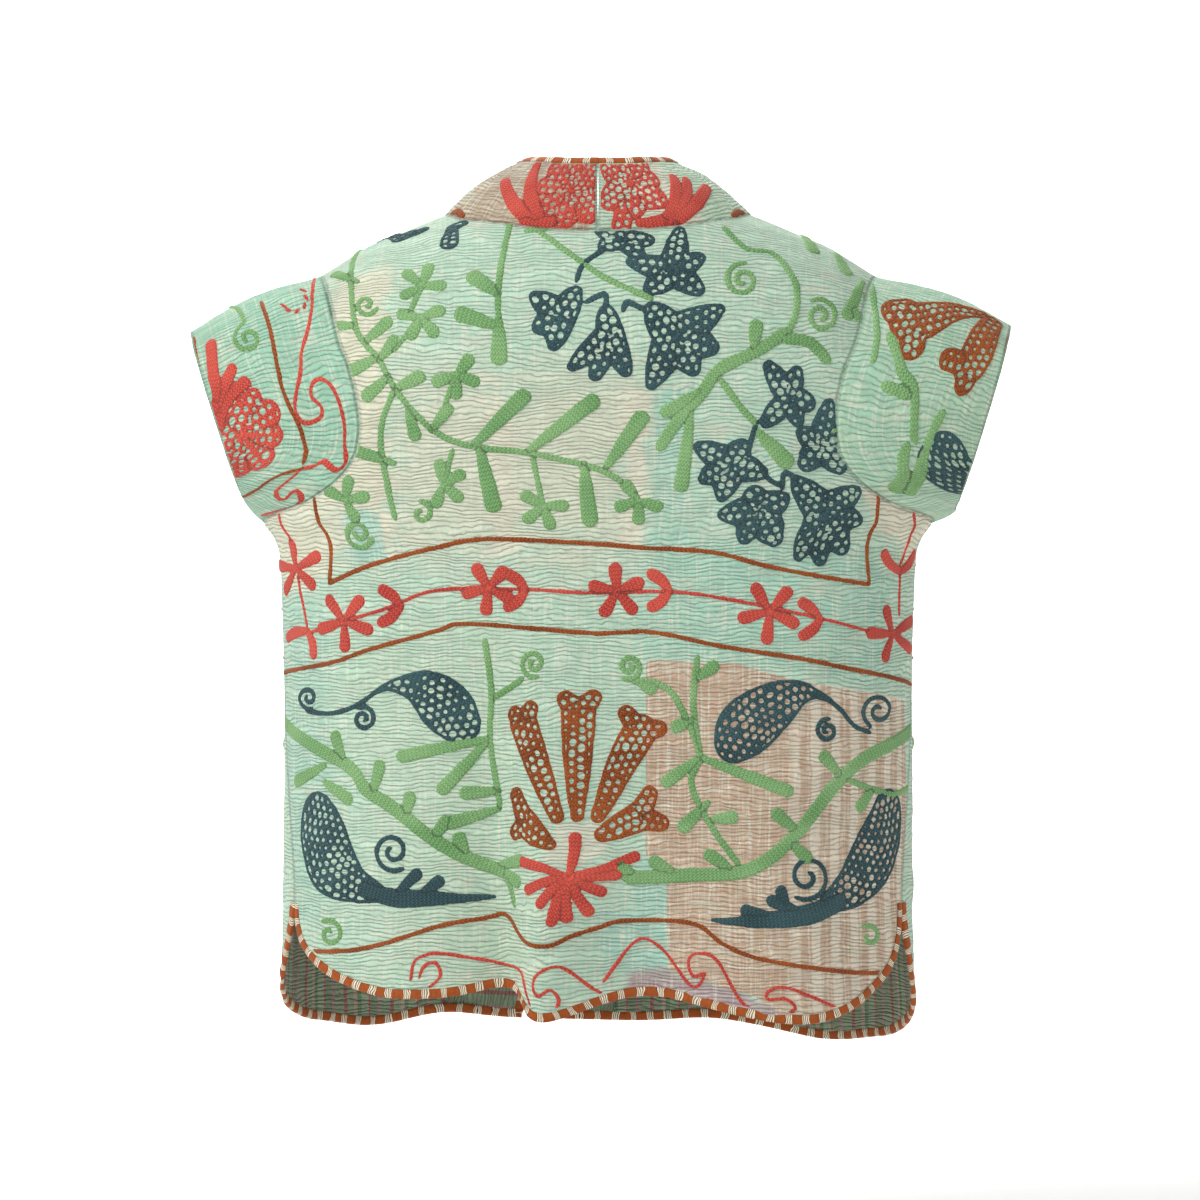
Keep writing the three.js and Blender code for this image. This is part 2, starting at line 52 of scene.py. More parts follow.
CORNER_POWER = {"back": 2.2, "front": 1.7}
SHOULDER_POINT = 241
SHOULDER_ARC = {"back": 150, "front": 190}
ARC_STRETCH = 1.37
HALF_WIDTH = [(-720, 274), (-640, 272), (-560, 270), (-420, 270), (-320, 272), (-290, 274), (-276, 279),
              (-264, 287), (-240, 290), (60, 290)]
DEPTH = {"back": [(-720, 120), (-560, 117), (-400, 114), (-264, 114), (-150, 116), (60, 116)],
         "front": [(-720, 128), (-560, 126), (-400, 126), (-264, 127), (-150, 122), (60, 118)]}
SHOULDER_RIDGE = [(0, 30), (70, 21), (133, 0), (170, -15), (198, -27), (221, -41), (241, -53), (300, -76)]
SEAM_BEHIND = [(-720, 50), (-588, 46), (-420, 18), (-264, 0)]
UNDERARM = {"back": [(287, -264), (258, -251), (232, -238), (213, -222), (203, -205)],
            "front": [(287, -264), (255, -254), (226, -241), (206, -222), (197, -200)]}
ARMHOLE = {"back": [(203, -205), (200, -185), (203, -160), (210, -132), (222, -100), (241, -53)],
           "front": [(197, -200), (195, -178), (198, -152), (207, -118), (221, -86), (241, -53)]}
NECK = {"back": [(0, -18), (36, -17), (70, -13), (100, -8), (121, -4), (133, 0)],
        "front": [(133, 0), (131, -14), (122, -45), (109, -85), (96, -127), (85, -172), (77, -218)]}
# Hanging folds: place at the hem, width, push out, roll to the left, lean on the way up, and the level where each
# dies away.
FOLDS = {"back": [(34, 34, 27, 15, 0.02, -250), (82, 27, -17, -10, 0.06, -330), (-46, 42, -13, 0, -0.04, -360),
                  (-165, 58, 15, 0, 0.1, -260), (172, 46, 8, 0, -0.12, -300), (-246, 26, -5, 0, 0.2, -420)],
         "front": [(205, 44, 15, 0, 0.08, -330), (132, 34, -8, 0, 0.05, -380), (-96, 38, -8, 0, 0.06, -400),
                   (-205, 50, 19, 0, -0.08, -280)]}
# Soft creases: from, to, half width, height (minus is a trough). The cloth drags from the underarms and blades.
CREASES = {"back": [((262, -262), (120, -330), 13, -2.4), ((258, -290), (150, -395), 15, 2.0),
                    ((-262, -262), (-110, -322), 14, -2.6), ((-255, -300), (-140, -420), 16, 2.2),
                    ((196, -120), (150, -215), 17, -1.8), ((-198, -120), (-160, -230), 15, -2.0),
                    ((60, -60), (95, -260), 26, 1.6), ((-70, -70), (-40, -300), 30, -1.5),
                    ((120, -420), (60, -560), 14, -1.8), ((-200, -430), (-120, -560), 18, 1.8),
                    ((230, -420), (215, -560), 14, -1.6), ((-238, -470), (-225, -590), 12, -1.5)],
           "front": [((250, -265), (140, -340), 14, -2.4), ((-250, -265), (-150, -350), 15, -2.2),
                     ((200, -420), (165, -600), 16, -2.0), ((-180, -400), (-160, -610), 16, 2.0),
                     ((170, -60), (130, -220), 20, 1.8), ((-175, -60), (-125, -230), 18, -1.8)]}
CORNER_STEPS, HEM_STEPS, SIDE_STEPS, UNDERARM_STEPS, ARMHOLE_STEPS = 36, 104, 108, 30, 54
TURN_STEPS = 240

heading = np.pi / 2 * ((np.arange(TURN_STEPS) + 0.5) / TURN_STEPS) ** SIDE_TURN
ACROSS = np.concatenate([[0], np.cumsum(np.cos(heading))])
DEEP = np.concatenate([[0], np.cumsum(np.sin(heading))])
ACROSS, DEEP = ACROSS / ACROSS[-1], 1 - DEEP / DEEP[-1]
SHARE = np.linspace(0, 1, TURN_STEPS + 1)


def along(rows, at):
    """Smooth value of a table of (place, value) at other places."""
    place, value = np.array(rows, float).T
    slope = np.diff(value) / np.diff(place)
    product, total = slope[:-1] * slope[1:], slope[:-1] + slope[1:]
    inner = np.where(product > 0, 2 * product / np.where(product > 0, total, 1), 0)
    tangent = np.concatenate([slope[:1], inner, slope[-1:]])
    at = np.clip(at, place[0], place[-1])
    i = np.clip(np.searchsorted(place, at) - 1, 0, len(slope) - 1)
    span = place[i + 1] - place[i]
    t = (at - place[i]) / span
    rise = t * t * (3 - 2 * t) * (value[i + 1] - value[i])
    return value[i] + rise + span * t * (1 - t) * ((1 - t) * tangent[i] - t * tangent[i + 1])


def ridge(x):
    return along(SHOULDER_RIDGE, np.abs(x))


def drape(face, s, w, column=2):
    """How far the folds push the cloth out (column 2) or roll it over (column 3)."""
    total = np.zeros(np.shape(s))
    for fold in FOLDS[face]:
        rise = np.clip((w - HEM[face]) / (fold[5] - HEM[face]), 0, 1)
        off = (s - fold[0] - fold[4] * (w - HEM[face])) / fold[1]
        total = total + fold[column] * (1 - rise) ** 1.6 * np.exp(-off * off)
    return total


def torso(panel, s, w):
    """The worn form: s runs round the body from the centre line, w is the height if the cloth hung straight."""
    s, w = np.broadcast_arrays(np.asarray(s, float), np.asarray(w, float))
    side = np.where(s < 0, -1.0, 1.0)
    t = np.abs(s) / QUARTER
    past = t > 1
    t = np.where(past, 2 - t, t)
    across, deep = np.interp(t, SHARE, ACROSS), np.interp(t, SHARE, DEEP)
    x = side * along(HALF_WIDTH, w) * across
    made = []
    for face in (panel, "front" if panel == "back" else "back"):
        arc = SHOULDER_ARC[face]
        fall = ridge(x) + arc * (ARC_STRETCH - 1) - w
        turn = np.clip(fall / (arc * ARC_STRETCH), 0, 1) * np.pi / 2
        z = ridge(x) - arc * (1 - np.cos(turn)) - np.maximum(fall - arc * ARC_STRETCH, 0)
        place = side * t * QUARTER
        out = along(DEPTH[face], z) * deep * np.sin(turn) + drape(face, place, w) * np.sqrt(deep)
        roll = drape(face, place, w, 3) * deep
        made.append(np.stack([x + roll, out if face == "back" else -out, z], -1))
    return np.where(past[..., None], made[1], made[0])


def on_cloth(face, x, z):
    """The cloth place (s, w) of a point seen at x, z on that face."""
    x, z = np.asarray(x, float), np.asarray(z, float)
    drop, arc = ridge(x) - z, SHOULDER_ARC[face]
    turned = np.arccos(1 - np.clip(drop / arc, 0, 1)) / (np.pi / 2) * arc * ARC_STRETCH
    w = ridge(x) + arc * (ARC_STRETCH - 1) - turned - np.maximum(drop - arc, 0)
    s = QUARTER * np.interp(np.minimum(np.abs(x) / along(HALF_WIDTH, w), 1), ACROSS, SHARE)
    return np.stack([np.sign(x) * s, w], -1)


def seam_at(face, w):
    return QUARTER + (-1 if face == "back" else 1) * along(SEAM_BEHIND, w)


def uneven(s, w, size, seed):
    """Smooth value from -1 to 1 that changes over the given lengths: hand work is never quite regular."""
    lattice = np.random.default_rng(seed).uniform(-1, 1, (64, 64))
    a, b = np.asarray(s, float) / size[0], np.asarray(w, float) / size[1]
    i, j = np.floor(a).astype(int), np.floor(b).astype(int)
    f, g = a - i, b - j
    f, g = f * f * (3 - 2 * f), g * g * (3 - 2 * g)
    i, j, k, m = i % 64, j % 64, (i + 1) % 64, (j + 1) % 64
    return ((1 - f) * ((1 - g) * lattice[i, j] + g * lattice[i, m])
            + f * ((1 - g) * lattice[k, j] + g * lattice[k, m]))


def rumple(face, s, w):
    """Puckers and creases, in mm off the worn form, fading at the side and shoulder seams, which hold the cloth."""
    made = 0.45 * uneven(s, w, (15, 7), 3) + 0.8 * uneven(s, w, (38, 24), 5) + 1.5 * uneven(s, w, (110, 80), 8)
    for (s0, w0), (s1, w1), width, height in CREASES[face]:
        run = np.array([s1 - s0, w1 - w0], float)
        t = ((s - s0) * run[0] + (w - w0) * run[1]) / (run @ run)
        held = np.clip(t, 0, 1)
        away = np.hypot(s - s0 - held * run[0], w - w0 - held * run[1]) / width
        made = made + height * np.exp(-away * away) * np.sin(np.pi * np.clip(t, 0.04, 0.96))
    top = ridge(s) + SHOULDER_ARC[face] * (ARC_STRETCH - 1)
    return made * np.clip((seam_at(face, w) - np.abs(s)) / 40, 0, 1) * np.clip((top - w) / 40, 0, 1)


def unit(v):
    return v / np.maximum(np.linalg.norm(v, axis=-1, keepdims=True), 1e-9)


def outward(face, s, w):
    across = torso(face, s + 0.8, w) - torso(face, s - 0.8, w)
    up = torso(face, s, w) - torso(face, s, w - 0.8)
    return unit(np.cross(up, across) if face == "back" else np.cross(across, up))


def lie(face, s, w, lift=0.0):
    """Points of the cloth's outer face, or that far off it."""
    s, w = np.asarray(s, float), np.asarray(w, float)
    return torso(face, s, w) + outward(face, s, w) * (rumple(face, s, w) + lift)[..., None]


def travelled(line):
    """Distance along a line from its start to each of its points."""
    return np.concatenate([[0], np.cumsum(np.linalg.norm(np.diff(line, axis=0), axis=1))])


def between(line, travel, at):
    """Points of a line at other distances along it."""
    return np.stack([np.interp(at, travel, column) for column in line.T], -1)


def smooth_line(places, count, even=True):
    """Points on a smooth line through the given ones, evenly spaced or an even number to each stretch."""
    p, last = np.array(places, float), len(places) - 1
    t = np.linspace(0, last, 40 * last + 1 if even else count)
    i = np.minimum(t.astype(int), last - 1)
    f = (t - i)[:, None]
    a, b, c, d = (p[np.clip(i + k, 0, last)] for k in (-1, 0, 1, 2))
    line = 0.5 * (2 * b + (c - a) * f + (2 * a - 5 * b + 4 * c - d) * f**2 + (3 * b - a - 3 * c + d) * f**3)
    if not even:
        return line
    travel = travelled(line)
    return between(line, travel, np.linspace(0, travel[-1], count))


def hem_level(face, s):
    return HEM[face] + HEM_SLOPE[face] * s - HEM_DIP * drape(face, s, HEM[face])


def hem_corner(face, side):
    """The rounded corner from the vent top down to the level hem."""
    angle = np.linspace(0, np.pi / 2, CORNER_STEPS + 1)
    power = 2 / CORNER_POWER[face]
    reach = seam_at(face, VENT_TOP) - CORNER_FROM[face]
    s = side * (CORNER_FROM[face] + reach * np.maximum(np.cos(angle), 0) ** power)
    return np.stack([s, VENT_TOP + (hem_level(face, s) - VENT_TOP) * np.sin(angle) ** power], -1)


def inset(line, by):
    """A line of cloth places moved to the left of its direction."""
    run = unit(np.concatenate([line[1:2] - line[:1], line[2:] - line[:-2], line[-1:] - line[-2:-1]]))
    return line + by * np.stack([-run[:, 1], run[:, 0]], -1)


def armhole(face):
    return smooth_line(on_cloth(face, *np.array(ARMHOLE[face]).T), ARMHOLE_STEPS + 1)


def underarm(face):
    return smooth_line(on_cloth(face, *np.array(UNDERARM[face]).T), UNDERARM_STEPS + 1)


def side_seam(face):
    w = np.linspace(VENT_TOP, underarm(face)[0, 1], SIDE_STEPS + 1)
    return np.stack([seam_at(face, w), w], -1)


def neck_seam(face):
    return smooth_line(on_cloth(face, *np.array(NECK[face]).T), ARMHOLE_STEPS + 1, even=False)


def shoulder(face, count):
    ends = on_cloth(face, np.array([133, SHOULDER_POINT]), ridge(np.array([133, SHOULDER_POINT])))
    s = np.linspace(ends[0, 0], ends[1, 0], count)
    x = torso(face, s, ridge(s) + SHOULDER_ARC[face] * (ARC_STRETCH - 1))[:, 0]
    return np.stack([s, ridge(x) + SHOULDER_ARC[face] * (ARC_STRETCH - 1)], -1)


def mirrored(line, side):
    return line * [side, 1]


def fill(bottom, top, left, right):
    """Rows of cloth places inside four edges."""
    u = (np.abs(bottom[:, 0] - bottom[0, 0]) / abs(bottom[-1, 0] - bottom[0, 0]))[None, :, None]
    v = (np.abs(left[:, 1] - left[0, 1]) / abs(left[-1, 1] - left[0, 1]))[:, None, None]
    corners = ((1 - u) * bottom[0] + u * bottom[-1]) * (1 - v) + ((1 - u) * top[0] + u * top[-1]) * v
    return (1 - v) * bottom[None] + v * top[None] + (1 - u) * left[:, None] + u * right[:, None] - corners


def weave(ids):
    return np.stack([ids[:-1, :-1], ids[:-1, 1:], ids[1:, 1:], ids[1:, :-1]], -1).reshape(-1, 4)


def two_blocks(lower, upper, skipped):
    """Places and quads of a panel whose upper block stands on part of the lower one's top row."""
    low = np.arange(lower.shape[0] * lower.shape[1]).reshape(lower.shape[:2])
    new = low.size + np.arange((upper.shape[0] - 1) * upper.shape[1]).reshape(-1, upper.shape[1])
    high = np.vstack([low[-1:, skipped:skipped + upper.shape[1]], new])
    places = np.vstack([lower.reshape(-1, 2), upper[1:].reshape(-1, 2)])
    return places, np.vstack([weave(low), weave(high)])


def cloth_piece(name, outer, inner, quads, materials, slot, **marks):
    """A closed wall of cloth between its outer and inner points, with named values for each point."""
    count = len(outer)
    a, b, c = (outer[quads[:, k]] for k in range(3))
    if np.einsum("ij,ij->", np.cross(b - a, c - a), (outer - inner)[quads[:, 0]]) < 0:
        quads = quads[:, ::-1]
    p, q = quads.ravel(), np.roll(quads, -1, axis=1).ravel()
    open_edge = ~np.isin(p * count + q, q * count + p)
    p, q = p[open_edge], q[open_edge]
    rim = np.stack([q, p, p + count, q + count], -1)
    mesh = bpy.data.meshes.new(name)
    faces = np.vstack([quads, quads[:, ::-1] + count, rim])
    mesh.from_pydata((np.vstack([outer, inner]) * MM).tolist(), [], faces.tolist())
    for material in materials:
        mesh.materials.append(material)
    index = np.repeat([0, len(materials) - 1, 0], [len(quads), len(quads), len(rim)])
    mesh.polygons.foreach_set("material_index", index)
    near = kdtree.KDTree(len(p))
    for i, place in enumerate(outer[p]):
        near.insert(place, i)
    near.balance()
    marks["seam"] = np.array([near.find(place)[2] for place in outer])
    for key, value in marks.items():
        kind = {1: "FLOAT", 2: "FLOAT_VECTOR", 3: "FLOAT_COLOR"}[1 if value.ndim == 1 else value.shape[1]]
        if value.ndim == 2:
            value = np.hstack([value, np.full((count, 1), 0.0 if kind == "FLOAT_VECTOR" else 1.0)])
        field = {"FLOAT": "value", "FLOAT_VECTOR": "vector", "FLOAT_COLOR": "color"}[kind]
        both = np.concatenate([value, value]).astype(np.float32).ravel()
        mesh.attributes.new(key, kind, "POINT").data.foreach_set(field, both)
    mesh.shade_smooth()
    mesh.set_sharp_from_angle(angle=math.radians(55))
    piece = bpy.data.objects.new(name, mesh)
    bpy.context.scene.collection.objects.link(piece)
    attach(piece, "root")
    return piece


def linear(colour):
    """Linear red, green and blue of an sRGB hex colour."""
    srgb = np.array([int(colour[i:i + 2], 16) for i in (1, 3, 5)]) / 255
    return np.where(srgb <= 0.04045, srgb / 12.92, ((srgb + 0.055) / 1.055) ** 2.4)


def add(tree, kind, *inputs, out=0, stops=(), **settings):
    """Adds a shader node, such as "Math ADD": its inputs in order, each a value, a socket to link or None, and its
    settings. A colour ramp's stops are the shares where its flat colours start."""
    kind, *operation = kind.split()
    made = tree.nodes.new("ShaderNode" + kind)
    for key, value in [("operation", word) for word in operation] + list(settings.items()):
        setattr(made, key, value)
    for socket, value in zip(made.inputs, inputs):
        if isinstance(value, bpy.types.NodeSocket):
            tree.links.new(value, socket)
        elif value is not None:
            socket.default_value = value
    for i, (start, colour) in enumerate(stops):
        made.color_ramp.interpolation = "CONSTANT"
        point = made.color_ramp.elements[i] if i < 2 else made.color_ramp.elements.new(start)
        point.position, point.color = start, (*linear(colour), 1)
    return made.outputs[out]


def new_material(name, roughness, sheen):
    """A material with its shader: the tree, and the shader to link to."""
    material = bpy.data.materials.new(name)
    material.use_nodes = True
    shader = material.node_tree.nodes["Principled BSDF"]
    shader.inputs["Roughness"].default_value = roughness
    shader.inputs["Sheen Weight"].default_value = sheen
    shader.inputs["Specular IOR Level"].default_value = 0.25
    return material, material.node_tree, shader


ROW = 3.6  # between rows of running stitch
STITCH = 4.4  # one stitch and the gap after it
DRAWN_WEAVE = 1.5  # threads of the weave are 0.4 mm apart; they are drawn at this so that they show
QUILT_DEPTH = 2.4  # relief of the quilting
INSIDE_STRIPES = 46.0  # one repeat of the inside cloth's stripes
PLAID_WARP, PLAID_WEFT = 17.0, 15.0  # from one pair of cream lines to the next
BROAD_STRIPES = 19.0  # cream stripes of the plaid towards the side
BROAD_FROM, BROAD_FULL = -150.0, -172.0


def quilted(name, inside):
    """Soft worn cotton gathered by its quilting: matt, with rounded ridges, thread showing in the valleys, and
    painted shade in the valleys and along the edges of each piece.
    """
    material, tree, shader = new_material(name, 0.88, 0.12)
    place = add(tree, "Attribute", attribute_name="cloth", out="Vector")
    slow = add(tree, "TexNoise", add(tree, "VectorMath MULTIPLY", place, (1 / 55, 1 / 34, 1)), None, 1.0, 1.0)
    quick = add(tree, "TexNoise", add(tree, "VectorMath MULTIPLY", place, (1 / 11, 1 / 8, 1)), None, 1.0, 2.0)
    axes = add(tree, "SeparateXYZ", place).node
    wander = add(tree, "Math ADD", add(tree, "Math MULTIPLY", slow, 17.0), add(tree, "Math MULTIPLY", quick, 5.0))
    row = add(tree, "Math DIVIDE", add(tree, "Math ADD", axes.outputs[1], wander), ROW)
    wave = add(tree, "Math SINE", add(tree, "Math MULTIPLY", row, math.pi))
    ridge_height = add(tree, "Math ABSOLUTE", wave)
    # Each row's stitches start at their own place.
    number = add(tree, "Math FLOOR", add(tree, "Math ADD", row, 0.5))
    start = add(tree, "TexWhiteNoise", None, number, noise_dimensions="1D")
    step = add(tree, "Math ADD", add(tree, "Math DIVIDE", axes.outputs[0], STITCH), start)
    stitch = add(tree, "Math MULTIPLY_ADD", add(tree, "Math SINE", add(tree, "Math MULTIPLY", step, 2 * math.pi)),
                 0.5, 0.5)
    crinkle = add(tree, "TexNoise", add(tree, "VectorMath MULTIPLY", place, (1 / 6.5, 1 / 2.6, 1)), None, 1.0,
                  3.0)
    gather = add(tree, "TexNoise", add(tree, "VectorMath MULTIPLY", place, (1 / 26, 1 / 12, 1)), None, 1.0, 2.0)
    weft = add(tree, "Math SINE", add(tree, "Math MULTIPLY", axes.outputs[1], 2 * math.pi / DRAWN_WEAVE))
    warp = add(tree, "Math SINE", add(tree, "Math MULTIPLY", axes.outputs[0], 2 * math.pi / DRAWN_WEAVE))
    web = add(tree, "Math MULTIPLY", weft, warp)
    valley = add(tree, "Math SUBTRACT", 1.0, ridge_height)
    # The thread pulls harder in some places than in others, so the thread showing in each valley and the painted
    # shade there change from place to place.
    valley_pull_and_shade = add(tree, "TexNoise", add(tree, "VectorMath MULTIPLY", place, (1 / 12, 1 / 5, 1)), None, 1.0, 2.0)
    valley_pull_and_shade = add(tree, "Math MULTIPLY_ADD", valley_pull_and_shade, 2.6, -0.75, use_clamp=True)
    valley_thread_and_shade = add(tree, "Math MULTIPLY", add(tree, "Math POWER", valley, 1.9), valley_pull_and_shade)
    if inside:
        # The inside is one faded striped cloth, grey-green between narrow pink, red and green stripes.
        band = add(tree, "Math FRACT", add(tree, "Math DIVIDE", axes.outputs[0], INSIDE_STRIPES))
        stripes = [(0.0, "#8B9A7E"), (0.2, "#A88A86"), (0.27, "#7F8F74"), (0.42, "#A9706A"), (0.46, "#93A186"),
                   (0.62, "#6F8C6C"), (0.7, "#B3A08E"), (0.78, "#8B9A7E"), (0.92, "#9E6B66")]
        colour = add(tree, "ValToRGB", band, stops=stripes)
    else:
        dye = add(tree, "Attribute", attribute_name="dye", out="Color")
        plaid = add(tree, "Attribute", attribute_name="plaid", out="Fac")
        edge = add(tree, "Math ADD", plaid, add(tree, "Math MULTIPLY", crinkle, 1.2))
        in_plaid = add(tree, "Math GREATER_THAN", edge, 0.0)
        # The plaid's pairs of cream lines wander with the quilting, with broad cream stripes towards the side.
        # Its ground is a weave of brown and pink threads.
        wobble = add(tree, "Math MULTIPLY_ADD", quick, 5.0, -2.5)
        lines = []
        for axis, apart in ((0, PLAID_WARP), (1, PLAID_WEFT)):
            share = add(tree, "Math FRACT", add(tree, "Math DIVIDE",
                                                add(tree, "Math ADD", axes.outputs[axis], wobble), apart))
            pair = add(tree, "Math COSINE", add(tree, "Math MULTIPLY", share, 4 * math.pi))
            near = add(tree, "Math LESS_THAN", share, 0.55)
            lines.append(add(tree, "Math MULTIPLY", add(tree, "Math MULTIPLY_ADD", pair, 3.0, -1.9,
                                                        use_clamp=True), near))
        broad = add(tree, "Math SINE", add(tree, "Math MULTIPLY", add(tree, "Math ADD", axes.outputs[0], wobble),
                                           2 * math.pi / BROAD_STRIPES))
        broad = add(tree, "Math MULTIPLY", add(tree, "Math MULTIPLY_ADD", broad, 1.6, 0.3, use_clamp=True),
                    add(tree, "MapRange", axes.outputs[0], BROAD_FROM, BROAD_FULL, 0.0, 1.0))
        fade = add(tree, "Math MULTIPLY_ADD", gather, 1.5, -0.25, use_clamp=True)
        check = add(tree, "Math MULTIPLY", add(tree, "Math ADD", lines[0], lines[1]),
                    add(tree, "Math MULTIPLY", fade, 0.6))
        check = add(tree, "Math MAXIMUM", check, add(tree, "Math MULTIPLY", broad, 0.62))
        ply = add(tree, "TexNoise", add(tree, "VectorMath MULTIPLY", place, (1 / 30, 1 / 1.6, 1)), None, 1.0, 2.0)
        ground = add(tree, "MixRGB", ply, (*linear("#AC8A72"), 1), (*linear("#DDC0A4"), 1))
        woven = add(tree, "MixRGB", check, ground, (*linear("#F2ECD8"), 1))
        colour = add(tree, "MixRGB", in_plaid, dye, woven)
        # Worn places, where the top layer has thinned to the cream one below.
        worn = add(tree, "TexNoise", add(tree, "VectorMath MULTIPLY", place, (1 / 70, 1 / 22, 1)), None, 1.0, 5.0,
                   0.62)
        thin = add(tree, "Math MAXIMUM", add(tree, "Math MULTIPLY_ADD", worn, 9.0, -5.2), 0.0, use_clamp=True)
        colour = add(tree, "MixRGB", add(tree, "Math MULTIPLY", thin, 0.5), colour, (*linear("#DCDCC2"), 1))
        # Thin cream threads of the layer below show along and across the weave.
        for scale in ((1 / 2.2, 1 / 45, 1), (1 / 40, 1 / 1.8, 1)):
            streak = add(tree, "TexNoise", add(tree, "VectorMath MULTIPLY", place, scale), None, 1.0, 2.0)
            streak = add(tree, "Math MULTIPLY_ADD", streak, 5.0, -2.5, use_clamp=True)
            colour = add(tree, "MixRGB", add(tree, "Math MULTIPLY", streak, 0.55), colour,
                         (*linear("#E6E6D2"), 1))
    thread = add(tree, "Math MULTIPLY", valley_thread_and_shade, stitch)
    colour = add(tree, "MixRGB", add(tree, "Math MULTIPLY", thread, 0.3), colour, (*linear("#E9EFDD"), 1))
    stain = add(tree, "Math MULTIPLY_ADD", gather, 0.5, 0.75)
    # Painted shade: the colour is darkened in the quilting valleys, more where the crinkle is high; the stain and
    # the weave add their own tone.
    shade = add(tree, "Math MULTIPLY_ADD", valley_thread_and_shade, add(tree, "Math MULTIPLY", crinkle, -0.8), stain)
    shade = add(tree, "Math MULTIPLY_ADD", web, 0.035, shade)
    # Painted shade along the seams and edges: within about 3 mm of a piece's open edge the colour darkens to three
    # quarters, where the bump also dips.
    seam = add(tree, "Attribute", attribute_name="seam", out="Fac")
    seam_dip_and_shade = add(tree, "MapRange", seam, 0.2, 3.4, 0.0, 1.0, interpolation_type="SMOOTHSTEP")
    shade = add(tree, "Math MULTIPLY", shade, add(tree, "Math MULTIPLY_ADD", seam_dip_and_shade, 0.24, 0.76))
    colour = add(tree, "MixRGB", 1.0, colour, add(tree, "CombineColor", shade, shade, shade),
                 blend_type="MULTIPLY")
    height = add(tree, "Math MULTIPLY", add(tree, "Math POWER", ridge_height, 0.5),
                 add(tree, "Math MULTIPLY", gather, 1.1))
    height = add(tree, "Math MULTIPLY_ADD", crinkle, 0.75, height)
    height = add(tree, "Math MULTIPLY_ADD", web, 0.02, height)
    height = add(tree, "Math MULTIPLY_ADD", seam_dip_and_shade, 0.8, height)
    tree.links.new(add(tree, "Bump", 1.0, QUILT_DEPTH * MM, None, height), shader.inputs["Normal"])
    tree.links.new(colour, shader.inputs["Base Color"])
    return material


def inside_of(places, corners):
    """Distance in mm inside a region of the cloth with those corners; minus is outside."""
    p, q = np.array(corners, float), np.roll(np.array(corners, float), -1, axis=0)
    least, within = np.full(len(places), 1e9), np.zeros(len(places), bool)
    for a, b in zip(p, q):
        t = np.clip(((places - a) @ (b - a)) / max((b - a) @ (b - a), 1e-6), 0, 1)
        least = np.minimum(least, np.linalg.norm(places - a - t[:, None] * (b - a), axis=1))
        crosses = (a[1] > places[:, 1]) != (b[1] > places[:, 1])
        if a[1] != b[1]:
            within ^= crosses & (places[:, 0] < (b[0] - a[0]) * (places[:, 1] - a[1]) / (b[1] - a[1]) + a[0])
    return np.where(within, least, -least)


def patched(places, ground, patches):
    """The dye at each place: a ground colour, and patches with corners, colour, soft edge in mm and strength."""
    s, w = places.T
    dye = np.broadcast_to(linear(ground), (len(places), 3)).copy()
    for corners, colour, soft, amount in patches:
        ragged = inside_of(places, corners) + min(soft, 30) * 0.8 * uneven(s, w, (19, 9), 21)
        mask = np.clip(ragged / soft + 0.5, 0, 1)[:, None] * amount
        dye = dye * (1 - mask) + linear(colour) * mask
    return dye


OUTSIDE = quilted("quilted_patchwork_cotton", inside=False)
INSIDE = quilted("faded_striped_cotton", inside=True)

corner = hem_corner("back", 1)
level = np.linspace(-CORNER_FROM["back"], CORNER_FROM["back"], HEM_STEPS + 1)
back_hem = np.vstack([mirrored(hem_corner("back", -1), 1)[:-1], np.stack([level, hem_level("back", level)], -1),
                      corner[::-1][1:]])
bottom = inset(back_hem, 4)
seam = side_seam("back")
bottom[0], bottom[-1] = mirrored(seam[0], -1), seam[0]
chest_count = len(bottom) - 2 * UNDERARM_STEPS
under, hole = underarm("back"), armhole("back")
under[0] = seam[-1]
chest = np.linspace(mirrored(under[-1], -1), under[-1], chest_count)
lower = fill(bottom, np.vstack([mirrored(under, -1)[:-1], chest, under[::-1][1:]]), mirrored(seam, -1), seam)
half_count = chest_count // 2 + 1
neck_half = smooth_line(neck_seam("back"), half_count // 2 + 6)
half_top = np.vstack([neck_half[:-1], shoulder("back", half_count - len(neck_half) + 1)])
upper_top = np.vstack([mirrored(half_top[::-1][:-1], -1), half_top])[:chest_count]
upper = fill(chest, upper_top, mirrored(hole, -1), hole)
places, quads = two_blocks(lower, upper, UNDERARM_STEPS)
